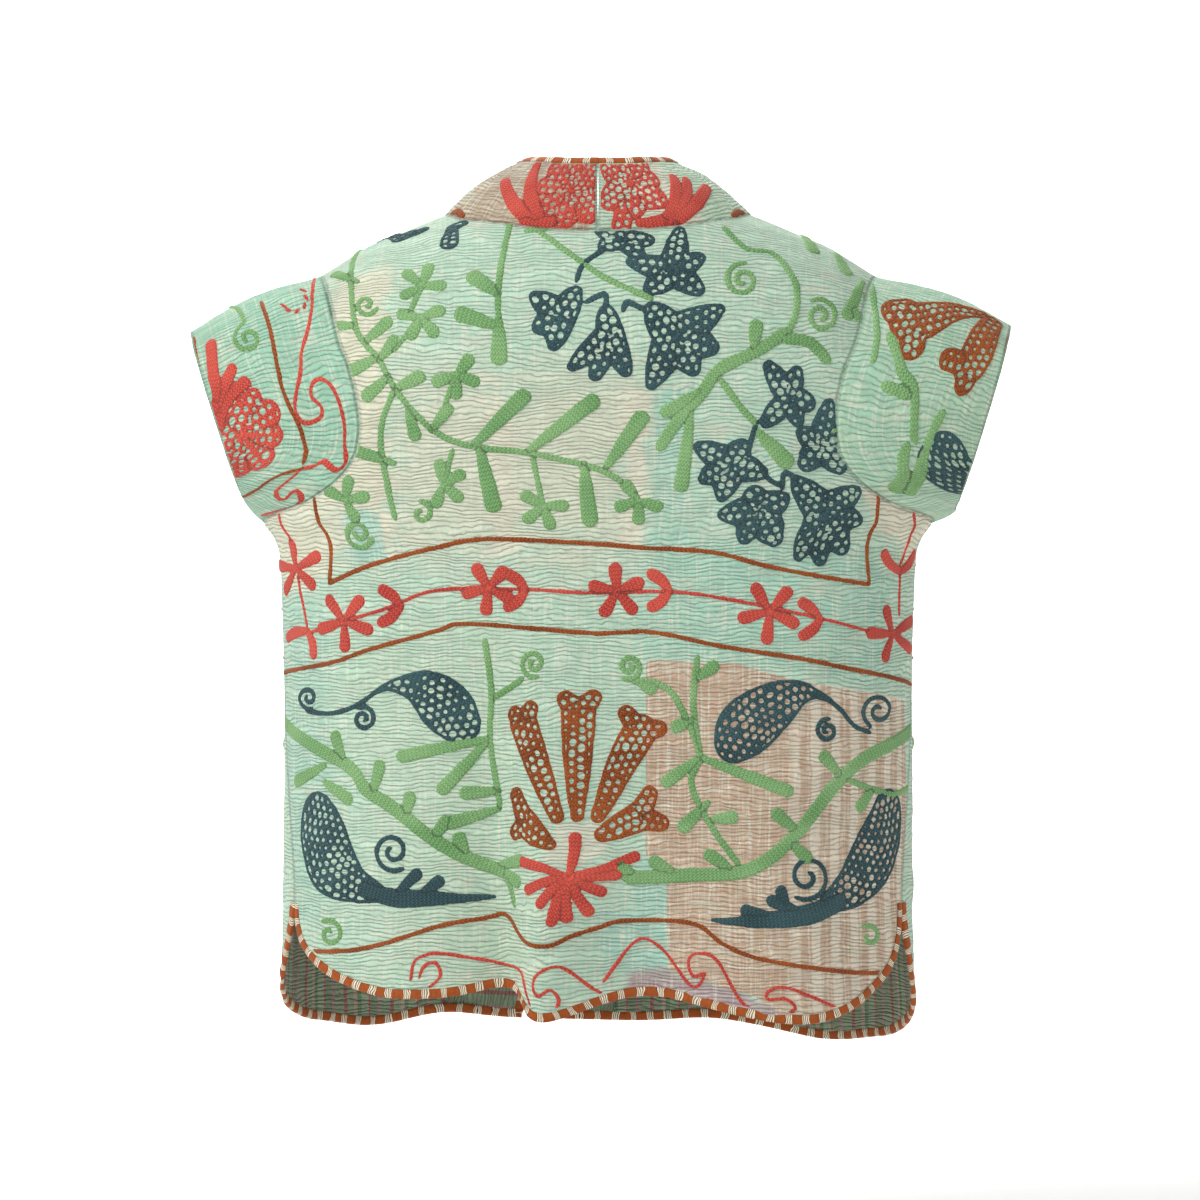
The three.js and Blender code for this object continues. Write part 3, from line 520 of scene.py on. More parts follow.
BACK_PATCHES = [
    ([(165, -45), (216, -45), (210, -296), (168, -300)], "#E4DDC2", 10, 0.8),
    ([(-40, -141), (165, -135), (172, -296), (-36, -290)], "#DFDCC4", 60, 0.7),
    ([(-22, -150), (-45, -150), (-40, -285), (-18, -285)], "#E6DFC8", 8, 0.75),
    ([(88, -140), (70, -140), (64, -290), (84, -290)], "#E6DFC8", 12, 0.6),
    ([(-44, -155), (-72, -155), (-72, -285), (-38, -290)], "#9CCFBB", 8, 0.75),
    ([(-46, -200), (-210, -205), (-205, -262), (-42, -275)], "#B4D6C0", 20, 0.7),
    ([(178, -256), (228, -256), (226, -298), (176, -298)], "#9CD0C0", 4, 0.85),
    ([(205, -225), (330, -225), (300, -330), (215, -300)], "#E3DEC4", 12, 0.8),
    ([(-205, -235), (-330, -225), (-300, -300), (-225, -262)], "#E6DEC6", 8, 0.9),
    ([(-40, -280), (-235, -290), (-262, -315), (-262, -402), (-40, -374)], "#A3D2BC", 10, 0.75),
    ([(235, -330), (330, -320), (300, -600), (245, -600)], "#A4D0BC", 12, 0.7),
    ([(-2, -590), (-30, -590), (-30, -545), (-60, -545), (-58, -640), (-6, -640)], "#A6D4C2", 3, 0.85),
    ([(205, -370), (60, -340), (40, -640), (190, -650)], "#C4DBC0", 40, 0.5),
    ([(27, -515), (-6, -515), (-8, -543), (14, -556), (34, -545)], "#E4E2CC", 5, 0.8),
    ([(40, -640), (172, -668), (172, -700), (40, -700)], "#D6DAC0", 14, 0.5),
    ([(-24, -642), (-60, -642), (-140, -664), (-190, -690), (-150, -705), (-24, -668)], "#B08C96", 6, 0.85),
]
plaid = inside_of(places, [(-41, -381), (-118, -384), (-165, -398), (-290, -416), (-300, -640), (-190, -700),
                           (-130, -660), (-60, -641), (-58, -548), (-41, -545)])
MINT = "#B9DAC2"
back = cloth_piece("back_panel_cloth", lie("back", *places.T), lie("back", *places.T, -CLOTH), quads,
                   [OUTSIDE, INSIDE], "quilted_cotton", cloth=places, dye=patched(places, MINT, BACK_PATCHES),
                   plaid=plaid)
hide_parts("back_panel")

# ======== Fronts ========
# Two fronts of the same patched cotton, a little longer than the back, whose openings swing to the wearer's left.
# Their faded striped inside shows below the back's hem and through the side vents.
BAND_SEAM = 74  # from the middle of the opening to the band's seam
BAND_EDGE = 5
SWING_FROM, SWING_BY, SWING_POWER = -262, 62, 1.3
FRONT_HEM_STEPS = 40
FRONT_PATCHES = {1: [([(80, -60), (330, -60), (330, -300), (80, -330)], "#D6D8BC", 24, 0.6),
                     ([(140, -300), (330, -320), (330, -520), (150, -500)], "#94C8B2", 8, 0.8)],
                 -1: [([(-80, -80), (-330, -80), (-330, -260), (-80, -250)], "#97C9B0", 10, 0.8),
                      ([(-80, -480), (-330, -470), (-330, -560), (-90, -570)], "#DFD8BA", 20, 0.7)]}
FRONT_PLAID = {1: [(60, -520), (330, -500), (330, -740), (60, -740)],
               -1: [(-60, -270), (-330, -290), (-330, -440), (-60, -430)]}


def opening(w):
    """How far the middle of the front opening is to the wearer's left at a level."""
    return SWING_BY * np.clip((SWING_FROM - w) / (SWING_FROM - HEM["front"]), 0, 1) ** SWING_POWER


def front_hem(side, from_opening):
    low = from_opening + side * opening(HEM["front"])
    s = side * np.linspace(low, CORNER_FROM["front"], FRONT_HEM_STEPS + 1)
    return np.vstack([np.stack([s, hem_level("front", s)], -1), hem_corner("front", side)[::-1][1:]])


def band_straight(side):
    """The band's seam on a front, from the hem up to the chest."""
    high = neck_seam("front")[-1]
    w = np.linspace(hem_level("front", side * BAND_SEAM + SWING_BY) + 4, high[1], SIDE_STEPS + 1)
    settle = np.clip((w - high[1] + 60) / 60, 0, 1) ** 2
    return np.stack([side * (BAND_SEAM + (high[0] - BAND_SEAM) * settle) + opening(w), w], -1)


for side, hand in ((1, "left"), (-1, "right")):
    bottom, inner_edge = inset(front_hem(side, BAND_SEAM), side * 4), band_straight(side)
    seam, under, hole = (mirrored(line("front"), side) for line in (side_seam, underarm, armhole))
    bottom[0], bottom[-1], under[0] = inner_edge[0], seam[0], seam[-1]
    chest = np.linspace(inner_edge[-1], under[-1], len(bottom) - UNDERARM_STEPS)
    lower = fill(bottom, np.vstack([chest, under[::-1][1:]]), inner_edge, seam)
    neck = mirrored(neck_seam("front")[::-1], side)
    upper = fill(chest, mirrored(shoulder("front", len(chest)), side), neck, hole)
    places, quads = two_blocks(lower, upper, 0)
    piece = cloth_piece(f"{hand}_front_cloth", lie("front", *places.T), lie("front", *places.T, -CLOTH), quads,
                        [OUTSIDE, INSIDE], "quilted_cotton", cloth=places,
                        dye=patched(places, MINT, FRONT_PATCHES[side]),
                        plaid=inside_of(places, FRONT_PLAID[side]))
    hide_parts(f"{hand}_front_panel")

# ======== Cap sleeves ========
# A short straight tube of the same quilted cotton, set into each armhole with its rows running round the arm.
# The cuffs are turned in, open, and stand a little off.
CUFF = {1: (350, -100, 304, -245), -1: (355, -94, 307, -253)}  # top x and z, lowest x and z
CUFF_DEPTH = 64
SLEEVE_ROUND = 460  # cloth round the sleeve
SLEEVE_ROWS = 34
SLEEVE_CROWN = 7


def armhole_ring(side):
    """The armhole from the shoulder down the back and up the front: points, and the way out of the cloth."""
    ring = []
    for face in ("back", "front"):
        line = mirrored(np.vstack([underarm(face), armhole(face)[1:]]), side)
        ring.append((lie(face, *line.T), outward(face, *line.T)))
    return [np.vstack([b[::-1], f[1:-1]]) for b, f in zip(*ring)]


def cuff_at(side, angle):
    """The cuff's edge at angles round the arm from the shoulder."""
    top_x, top_z, low_x, low_z = CUFF[side]
    high = (1 + np.cos(angle)) / 2
    return np.stack([side * (low_x + (top_x - low_x) * high), CUFF_DEPTH * np.sin(angle),
                     low_z + (top_z - low_z) * high], -1)


def lie_sleeve(side, out, round_at, lift=0.0):
    """Points of a sleeve: out is the distance from the armhole, round_at the distance round from the shoulder."""
    at, normal = ARMHOLES[side]
    k = np.asarray(round_at, float) / SLEEVE_ROUND * len(at)
    i, f = np.floor(k).astype(int), (k - np.floor(k))[..., None]
    start = at[i % len(at)] * (1 - f) + at[(i + 1) % len(at)] * f
    away = unit(normal[i % len(at)] * (1 - f) + normal[(i + 1) % len(at)] * f)
    run = cuff_at(side, 2 * np.pi * k / len(at)) - start
    length = np.linalg.norm(run, axis=-1)
    t = np.asarray(out, float) / length
    crown = SLEEVE_CROWN * np.sin(np.pi * np.clip(t, 0, 1)) * np.minimum(length / 90, 1)
    pucker = 0.5 * uneven(out, round_at, (14, 8), 31 + side) + 0.9 * uneven(out, round_at, (34, 26), 35 + side)
    away = away + run / length[..., None] * (0.15 * np.cos(np.pi * np.clip(t, 0, 1)))[..., None]
    off = crown + pucker * np.clip(np.asarray(out) / 14, 0, 1) + lift
    return start + run * t[..., None] + unit(away) * off[..., None]


def sleeve_length(side):
    """Straight distance from the armhole to the cuff at each point of the armhole."""
    ring = ARMHOLES[side][0]
    return np.linalg.norm(cuff_at(side, 2 * np.pi * np.arange(len(ring)) / len(ring)) - ring, axis=-1)


NO_PLAID = -50.0
ARMHOLES = {side: armhole_ring(side) for side in (1, -1)}
for side, hand in ((1, "left"), (-1, "right")):
    ring = ARMHOLES[side][0]
    round_at = np.arange(len(ring)) * SLEEVE_ROUND / len(ring)
    length = sleeve_length(side)
    share = np.linspace(0, 1, SLEEVE_ROWS + 1)[:, None]
    out, around = share * length[None], np.broadcast_to(round_at, (SLEEVE_ROWS + 1, len(ring)))
    ids = np.arange(out.size).reshape(out.shape)
    quads = weave(np.hstack([ids, ids[:, :1]]))
    places = np.stack([out.ravel(), around.ravel()], -1)
    dye = patched(places, "#9CCBB0" if side > 0 else "#ACD2B4", [([(4, -20), (80, -20), (80, 500), (4, 500)],
                                                                  "#94C7AE", 40, 0.3)])
    piece = cloth_piece(f"{hand}_sleeve_cloth", lie_sleeve(side, *places.T), lie_sleeve(side, *places.T, -CLOTH),
                        quads, [OUTSIDE, INSIDE], "quilted_cotton", cloth=places, dye=dye,
                        plaid=np.full(len(places), NO_PLAID))
    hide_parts(f"{hand}_sleeve")

# ======== Neckband ========
# Two lengths of quilted cotton that meet at the centre back, stand round the neck and run down both front edges.
# The wearer's left half is a beige striped cloth; the right half is cream and mint.
FREE_EDGE = {"back": [(0, 46, 47), (20, 45, 47), (39, 38, 48), (53, 24, 49), (61, 10, 49), (63, -4, 48)],
             "front": [(63, -4, 48), (60, -30, 38), (51, -57, 12), (39, -79, -26), (26, -97, -74),
                       (15, -111, -131), (8, -121, -192)]}
BAND_WIDE = 76
BAND_ROWS = 26
CHEST = -262


def band_form(side):
    """Stations along half the band: points on its seam and free edge, the way out, the crown and the distance."""
    parts = []  # seam, free edge, way out and level: of the back, the neck's front and the straight front
    for face, first in (("back", 0), ("front", 1)):
        line = mirrored(neck_seam(face), side)
        free = smooth_line(FREE_EDGE[face], ARMHOLE_STEPS + 1, even=False) * [side, 1, 1]
        parts.append([rows[first:] for rows in (lie(face, *line.T), free, outward(face, *line.T), line[:, 1])])
    line = band_straight(side)[::-1]
    t = np.linspace(0, 1, len(line))
    last = np.array(FREE_EDGE["front"][-1], float)
    w = last[2] + (hem_level("front", side * BAND_EDGE + SWING_BY) + 4 - last[2]) * t
    edge = side * (last[0] + (BAND_EDGE - last[0]) * np.clip(4 * t, 0, 1)) + opening(w)
    straight = (lie("front", *line.T), lie("front", edge, w), outward("front", *line.T), line[:, 1])
    parts.append([rows[1:] for rows in straight])
    seam, free, out, level = (np.concatenate(rows) for rows in zip(*parts))
    crown = 1 + 5 * np.clip((level - CHEST) / 60, 0, 1)
    return seam, free, out, crown, travelled(seam)


def lie_band(side, run, up, lift=0.0):
    """Points of the band: run is the distance along its seam from the centre back, up the distance off the seam."""
    seam, free, out, crown, travel = BANDS[side]
    m = (np.asarray(up, float) / BAND_WIDE)[..., None]
    low, high = between(seam, travel, run), between(free, travel, run)
    middle = seam * 0.5 + free * 0.5
    along_run = between(middle, travel, run + 2) - between(middle, travel, run - 2)
    face = unit(np.cross(along_run, high - low)) * -side
    away = unit(between(out, travel, run) * np.clip(1 - 6 * m, 0, 1) + face * np.clip(6 * m, 0.001, 1))
    bow = np.interp(run, travel, crown)[..., None] * np.sin(np.pi * np.clip(m, 0, 1))
    pucker = 0.45 * uneven(run, up, (12, 8), 41 + side) + 0.8 * uneven(run, up, (40, 22), 45 + side)
    held = np.clip(np.minimum(np.asarray(up), BAND_WIDE - np.asarray(up)) / 12, 0, 1)
    held = held * np.clip(np.asarray(run) / 10, 0, 1)
    return low + (high - low) * m + away * (bow + (pucker * held + lift)[..., None])


BANDS = {side: band_form(side) for side in (1, -1)}
for side, hand in ((1, "left"), (-1, "right")):
    travel = BANDS[side][4]
    run, up = np.meshgrid(travel, np.linspace(0, BAND_WIDE - 3, BAND_ROWS + 1))
    places = np.stack([run.ravel(), up.ravel()], -1)
    quads = weave(np.arange(run.size).reshape(run.shape))
    if side > 0:
        dye = patched(places, "#B29C84", [([(-5, -5), (7, -5), (7, 90), (-5, 90)], "#AFD0B6", 2, 1.0),
                                          ([(30, 50), (150, 40), (150, 90), (30, 90)], "#A79A88", 16, 0.7),
                                          ([(150, -5), (900, -5), (900, 40), (150, 30)], MINT, 20, 0.8)])
    else:
        dye = patched(places, "#D5D8C0", [([(-5, -5), (34, -5), (30, 90), (-5, 90)], "#AFD0B6", 8, 0.9),
                                          ([(95, -5), (900, -5), (900, 90), (80, 90)], "#ACCFB2", 12, 0.9)])
    piece = cloth_piece(f"{hand}_neckband_cloth", lie_band(side, *places.T), lie_band(side, *places.T, -CLOTH),
                        quads, [OUTSIDE, INSIDE], "neckband_cotton", cloth=places, dye=dye,
                        plaid=np.full(len(places), NO_PLAID))
    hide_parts(f"{hand}_neckband")

# ======== Striped bindings ========
# A strip of rust cotton with groups of fine cream stripes, folded over each raw edge and stitched through.
# It wraps the hems and vent edges of the back and fronts, and the free edge of the neckband.
BINDING_WIDTH = 8
BINDING_CLOTH = 0.6
STRIPE_GROUP = 16.0  # from one group of cream stripes to the next
TAPE_DEPTH = 0.9  # relief of the weave and the stitched edge
FOLD_STEP = 2.2  # between points along a hem's fold
NECK_FOLD_STEP = 2.4


def binding_cotton():
    """Plain-woven rust cotton, smooth and a little bright, striped across the strip, with painted shade towards
    both edges of the strip, where it meets the cloth.
    """
    material, tree, shader = new_material("rust_striped_cotton", 0.66, 0.05)
    run = add(tree, "Attribute", attribute_name="run", out="Fac")
    jitter = add(tree, "TexNoise", add(tree, "Attribute", attribute_name="cloth", out="Vector"), None, 0.09, 1.0)
    share = add(tree, "Math DIVIDE", add(tree, "Math ADD", run, add(tree, "Math MULTIPLY", jitter, 7.0)),
                STRIPE_GROUP)
    share = add(tree, "Math FRACT", share)
    rust, cream, dark = "#A4501A", "#F3E6CB", "#5A2E14"
    bands = [(0.0, rust), (0.56, dark), (0.585, cream), (0.65, dark), (0.69, cream), (0.755, dark),
             (0.795, cream), (0.86, dark), (0.9, cream), (0.955, dark), (0.985, rust)]
    over = add(tree, "Attribute", attribute_name="over", out="Fac")
    place = add(tree, "Attribute", attribute_name="cloth", out="Vector")
    fade = add(tree, "TexNoise", place, None, 0.22, 3.0)
    shade = add(tree, "Math MULTIPLY_ADD", fade, 0.5, 0.74)
    # Painted shade: the strip darkens towards both its long edges, where it tucks against the cloth.
    edge = add(tree, "MapRange", over, 0.0, 1.4, 0.72, 1.0)
    shade = add(tree, "Math MULTIPLY", shade, edge)
    colour = add(tree, "MixRGB", 1.0, add(tree, "ValToRGB", share, stops=bands),
                 add(tree, "CombineColor", shade, shade, shade), blend_type="MULTIPLY")
    # Weave 0.4 mm apart, drawn at 1 mm; the stitched edge dimples every 4 mm.
    weft = add(tree, "Math SINE", add(tree, "Math MULTIPLY", run, 2 * math.pi))
    dimple = add(tree, "Math SINE", add(tree, "Math MULTIPLY", run, 2 * math.pi / 4))
    height = add(tree, "Math MULTIPLY_ADD", dimple, 0.12, add(tree, "Math MULTIPLY_ADD", weft, 0.04, fade))
    tree.links.new(add(tree, "Bump", 1.0, TAPE_DEPTH * MM, None, height), shader.inputs["Normal"])
    tree.links.new(colour, shader.inputs["Base Color"])
    return material


BINDING = binding_cotton()
# The folded strip across: distance in from the fold, and height over the cloth's outer face.
PROFILE = [(BINDING_WIDTH, 0.35), (6.6, 0.8), (3.5, 0.95), (1.2, 0.75), (0.15, -0.2), (0, -1.2), (0.15, -2.2),
           (1.2, -3.15), (3.5, -3.35), (6.6, -3.2), (BINDING_WIDTH, -2.75)]


def folded_strip(name, fold, into, up, node, seed):
    """A strip folded over an edge: the fold line, the way into the cloth and the way out of it at each point."""
    run, path = travelled(fold), smooth_line(PROFILE, 21)
    across = travelled(path)
    turn = unit(np.gradient(path, axis=0))
    side_way = np.stack([turn[:, 1], -turn[:, 0]], -1)
    side_way = side_way * np.sign(side_way[0, 1])
    layers = []
    for by in (0, -BINDING_CLOTH):
        d, h = (path + side_way * by).T
        swell = 1 + 0.25 * uneven(run, 0 * run, (9, 9), seed)
        layers.append((fold[:, None] + into[:, None] * d[None, :, None]
                       + up[:, None] * (((h + 1.2)[None] * swell[:, None]) - 1.2)[..., None]).reshape(-1, 3))
    ids = np.arange(len(fold) * len(path)).reshape(len(fold), -1)
    run_at, over = np.repeat(run, len(path)), np.tile(np.minimum(across, across[-1] - across), len(fold))
    places = np.stack([run_at, np.tile(across, len(fold))], -1)
    piece = cloth_piece(name, layers[0], layers[1], weave(ids), [BINDING], "striped_binding", cloth=places,
                        run=run_at, over=over)
    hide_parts(node)


def hem_strip(name, face, line, by, node, seed):
    travel = travelled(line)
    line = between(line, travel, np.linspace(0, travel[-1], int(travel[-1] / FOLD_STEP)))
    fold, up = lie(face, *line.T), outward(face, *line.T)
    into = lie(face, *inset(line, by).T) - fold
    folded_strip(name, fold, unit(into - up * np.sum(into * up, -1, keepdims=True)), up, node, seed)


hem_strip("back_hem_strip", "back", back_hem, BINDING_WIDTH, "back_hem_binding", 51)
for side, hand in ((1, "left"), (-1, "right")):
    hem_strip(f"{hand}_hem_strip", "front", front_hem(side, BAND_EDGE), side * BINDING_WIDTH,
              f"{hand}_hem_binding", 52 + side)
    seam, free, out, crown, travel = BANDS[side]
    run = np.linspace(0, travel[-1], int(travel[-1] / NECK_FOLD_STEP))
    fold = lie_band(side, run, np.full(len(run), float(BAND_WIDE)))
    into = lie_band(side, run, np.full(len(run), float(BAND_WIDE - BINDING_WIDTH))) - fold
    slope = np.gradient(fold, axis=0)
    up = unit(np.cross(slope, -into)) * -side
    folded_strip(f"{hand}_neck_strip", fold, unit(into), up, f"{hand}_neck_binding",
                 55 + side)

# ======== Embroidery on the back ========
# Chain stitch in thick cotton thread: filled leaves and stems in green, netted flowers and paisleys in blue-green,
# netted petals and frame lines in rust, and small flowers, fingers and scrolls in red. It stands about 1 mm proud.
FINE = 1.35  # between points of the stitched surface
THREAD_RISE = 1.25
THREAD_ROOT = 0.4  # how far the edge of the stitching goes into the cloth
THREAD_ROUND = 2.0  # from the edge of the stitching to its full height
THREAD_DEPTH = 0.8  # relief of the looped links
SEAM_CLEAR = 1.0  # between the stitching and the panel's seams
VENT_CLEAR = 8.0  # more beside the vents and the hem, where the binding is
BORDER = 3.0  # solid edge round a netted filling
NET_LONG, NET_WIDE, NET_HOLE = 7.6, 6.6, 2.1
CHAIN_ROW, CHAIN_LINK = 2.5, 3.4  # a real link is about as long; the rows are drawn a little wider apart
STROKE_STEP = 2.5


def chain_stitch(name, dark, light):
    """Matt cotton thread in rows of looped links in small slanting strokes, with a painted highlight that lightens
    the raised parts of each link.
    """
    material, tree, shader = new_material(name, 0.8, 0.1)
    place = add(tree, "Attribute", attribute_name="thread", out="Vector")
    axes = add(tree, "SeparateXYZ", place).node
    across = add(tree, "Math FRACT", add(tree, "Math DIVIDE", axes.outputs[1], CHAIN_ROW))
    slant = add(tree, "Math ABSOLUTE", add(tree, "Math SUBTRACT", across, 0.5))
    link = add(tree, "Math ADD", add(tree, "Math DIVIDE", axes.outputs[0], CHAIN_LINK),
               add(tree, "Math MULTIPLY", slant, 1.2))
    wave = add(tree, "Math MULTIPLY_ADD", add(tree, "Math SINE", add(tree, "Math MULTIPLY", link, 2 * math.pi)),
               0.5, 0.5)
    row = add(tree, "Math SINE", add(tree, "Math MULTIPLY", across, math.pi))
    cloth = add(tree, "Attribute", attribute_name="cloth", out="Vector")
    fuzz = add(tree, "TexNoise", add(tree, "VectorMath MULTIPLY", cloth, (0.55, 0.55, 1)), None, 1.0, 3.0)
    height = add(tree, "Math MULTIPLY", wave, add(tree, "Math MULTIPLY_ADD", row, 0.6, 0.4))
    height = add(tree, "Math MULTIPLY_ADD", fuzz, 0.9, height)
    # Painted highlight: the colour runs from the dark thread colour to the light one with the height of the links
    # and fuzz, added to the thread's own tone from place to place.
    shade = add(tree, "Math ADD", add(tree, "Math MULTIPLY", height, 0.75),
                add(tree, "Math MULTIPLY_ADD", axes.outputs[2], 0.5, -0.32), use_clamp=True)
    colour = add(tree, "MixRGB", shade, (*linear(dark), 1), (*linear(light), 1))
    tree.links.new(add(tree, "Bump", 1.0, THREAD_DEPTH * MM, None, height), shader.inputs["Normal"])
    tree.links.new(colour, shader.inputs["Base Color"])
    return material


THREADS = {"green": chain_stitch("green_cotton_thread", "#5A9152", "#9DC78A"),
           "teal": chain_stitch("blue_green_cotton_thread", "#1F373D", "#46686C"),
           "red": chain_stitch("red_cotton_thread", "#A62F28", "#EA6453"),
           "rust": chain_stitch("rust_cotton_thread", "#6C3010", "#B8622C")}


def new_hoop(low, high):
    """An empty stretch of cloth to sew on, from one cloth place to another."""
    shape = tuple(int((h - l) / FINE) + 1 for l, h in zip(low[::-1], high[::-1]))
    return {"low": np.array(low, float), "f": np.full(shape, -9.0), "run": np.zeros(shape),
            "row": np.zeros(shape), "shade": np.zeros(shape)}


def sew(hoop, *strokes, net=False):
    """Sews strokes that join each other. A stroke is rows of (s, w, half width), and a net has holes."""
    low = np.min([s[:, :2].min(0) - s[:, 2].max() for s in strokes], 0) - 2
    high = np.max([s[:, :2].max(0) + s[:, 2].max() for s in strokes], 0) + 2
    i0, j0 = np.maximum(((low - hoop["low"]) / FINE).astype(int), 0)
    i1, j1 = np.minimum(((high - hoop["low"]) / FINE).astype(int) + 2, hoop["f"].shape[::-1])
    if i1 <= i0 or j1 <= j0:
        return
    s, w = np.meshgrid(hoop["low"][0] + FINE * np.arange(i0, i1), hoop["low"][1] + FINE * np.arange(j0, j1))
    best, run, row = np.full(s.shape, -9.0), np.zeros(s.shape), np.zeros(s.shape)
    for stroke in strokes:
        travel = travelled(stroke[:, :2])
        step = np.linalg.norm(np.diff(stroke[:, :2], axis=0), axis=1)
        for k in range(len(step)):
            a, b = stroke[k], stroke[k + 1]
            way = (b[:2] - a[:2]) / max(step[k], 1e-6)
            ahead = (s - a[0]) * way[0] + (w - a[1]) * way[1]
            t = np.clip(ahead / max(step[k], 1e-6), 0, 1)
            away = np.hypot(s - a[0] - t * step[k] * way[0], w - a[1] - t * step[k] * way[1])
            f = a[2] + (b[2] - a[2]) * t - away
            nearer = f > best
            best[nearer] = f[nearer]
            run[nearer] = (travel[k] + ahead)[nearer]
            row[nearer] = ((w - a[1]) * way[0] - (s - a[0]) * way[1])[nearer]
    best = best + 0.35 * uneven(s, w, (5, 5), 61)
    if net:
        b = row / NET_WIDE + 0.25 * uneven(s, w, (16, 16), 63)
        a = run / NET_LONG + 0.5 * (np.floor(b) % 2) + 0.3 * uneven(s, w, (14, 14), 62)
        hole = np.hypot((a - np.floor(a) - 0.5) * NET_LONG, (b - np.floor(b) - 0.5) * NET_WIDE * 1.1)
        hole = hole - NET_HOLE * (1 + 0.55 * uneven(s, w, (9, 9), 64))
        best = np.minimum(best, np.maximum(hole, BORDER - best))
    part = (slice(j0, j1), slice(i0, i1))
    over = best > hoop["f"][part]
    shade = 0.5 + 0.5 * uneven(s, w, (26, 17), 65)
    for key, value in (("f", best), ("run", run), ("row", row), ("shade", shade)):
        hoop[key][part] = np.where(over, value, hoop[key][part])


CASES = []
for code in range(16):
    walk = []
    for k in range(4):
        here, after = code >> k & 1, code >> ((k + 1) % 4) & 1
        walk += [k] * here + [4 + k] * (here != after)
    CASES.append(walk)


def stitched(name, hoop, put, thread, limit):
    """The raised thread of one colour as a mesh that dips into the cloth at its edges, kept inside the limit."""
    f = hoop["f"]
    j, i = np.nonzero(f > -2)
    f[j, i] = np.minimum(f[j, i], limit(hoop["low"][0] + FINE * i, hoop["low"][1] + FINE * j))
    f = np.where(np.abs(f) < 0.03, 0.03, f)
    inside = f > 0
    grid_j, grid_i = np.mgrid[:f.shape[0], :f.shape[1]]
    corner_id = np.full(f.shape, -1)
    corner_id[inside] = np.arange(inside.sum())
    marks = ("run", "row", "shade")
    columns = [np.stack([grid_i[inside], grid_j[inside], f[inside], *(hoop[k][inside] for k in marks)],
                        -1).astype(float)]
    count, edge_ids = inside.sum(), []
    for dj, di in ((0, 1), (1, 0)):
        a, b = f[:f.shape[0] - dj, :f.shape[1] - di], f[dj:, di:]
        cut = (a > 0) != (b > 0)
        ids = np.full(f.shape, -1)
        ids[:cut.shape[0], :cut.shape[1]][cut] = count + np.arange(cut.sum())
        count += cut.sum()
        j, i = np.nonzero(cut)
        t = a[cut] / (a[cut] - b[cut])
        first = a[cut] > 0
        jj, ii = np.where(first, j, j + dj), np.where(first, i, i + di)
        columns.append(np.stack([i + di * t, j + dj * t, 0 * t, *(hoop[k][jj, ii] for k in marks)], -1))
        edge_ids.append(ids)
    table = np.vstack(columns)
    flat, up = edge_ids
    slots = [corner_id[:-1, :-1], corner_id[:-1, 1:], corner_id[1:, 1:], corner_id[1:, :-1],
             flat[:-1, :-1], up[:-1, 1:], flat[1:, :-1], up[:-1, :-1]]
    code = inside[:-1, :-1] + 2 * inside[:-1, 1:] + 4 * inside[1:, 1:] + 8 * inside[1:, :-1]
    faces = []
    for k in range(1, 16):
        here = code == k
        if here.any():
            faces += np.stack([slots[c][here] for c in CASES[k]], -1).tolist()
    s, w = hoop["low"][:, None] + FINE * table[:, :2].T
    dome = np.sqrt(1 - (1 - np.clip(table[:, 2] / THREAD_ROUND, 0, 1)) ** 2)
    lift = -THREAD_ROOT + (THREAD_RISE + THREAD_ROOT) * dome + 0.2 * uneven(s, w, (3.4, 3.4), 66) * dome
    points = put(s, w, lift)
    middle = np.array([face[:3] for face in faces[:400]])
    a, b, c = (points[middle[:, k]] for k in range(3))
    if np.sum(np.cross(b - a, c - a) * (put(s, w, lift + 1) - points)[middle[:, 0]]) < 0:
        faces = [face[::-1] for face in faces]
    mesh = bpy.data.meshes.new(name)
    mesh.from_pydata((points * MM).tolist(), [], faces)
    mesh.materials.append(THREADS[thread])
    for key, value in (("thread", table[:, 3:6]), ("cloth", np.stack([s, w, 0 * s], -1))):
        mesh.attributes.new(key, "FLOAT_VECTOR", "POINT").data.foreach_set("vector",
                                                                           value.astype(np.float32).ravel())
    mesh.shade_smooth()
    piece = bpy.data.objects.new(name, mesh)
    bpy.context.scene.collection.objects.link(piece)
    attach(piece, "root")


# Turns places as seen, across and up, into cloth places of the piece being sewn.
seen = lambda x, z: on_cloth("back", x, z)


def blob(*values):
    """A stroke through (across, up, half width) triples."""
    rows = np.array(values, float).reshape(-1, 3)
    places = seen(rows[:, 0], rows[:, 1])
    return smooth_line(np.hstack([places, rows[:, 2:]]), max(int(travelled(places)[-1] / STROKE_STEP), 3))


def stem(width, *values):
    """A line of one width through (across, up) pairs, a little thinner at its ends."""
    rows = np.array(values, float).reshape(-1, 2)
    line = blob(*np.hstack([rows, np.full((len(rows), 1), width / 2)]).ravel())
    line[0, 2], line[-1, 2] = line[0, 2] * 0.8, line[-1, 2] * 0.7
    return line


def leaf(width, x0, z0, x1, z1, bend=0.0):
    """A blunt leaf from its narrow foot to its broad tip."""
    x, z = (x0 + x1) / 2 - bend * (z1 - z0), (z0 + z1) / 2 + bend * (x1 - x0)
    return blob(x0, z0, width * 0.24, x, z, width * 0.42, x1, z1, width * 0.5)


def curl(width, x, z, radius, start, turns):
    """A spiral from its outside in; start is in degrees and turns are minus for clockwise."""
    t = np.linspace(0, 1, 22)
    angle = np.radians(start) + 2 * np.pi * turns * t
    r = radius * (1 - 0.82 * t)
    return stem(width, *np.stack([x + r * np.cos(angle), z + r * np.sin(angle)], -1).ravel())


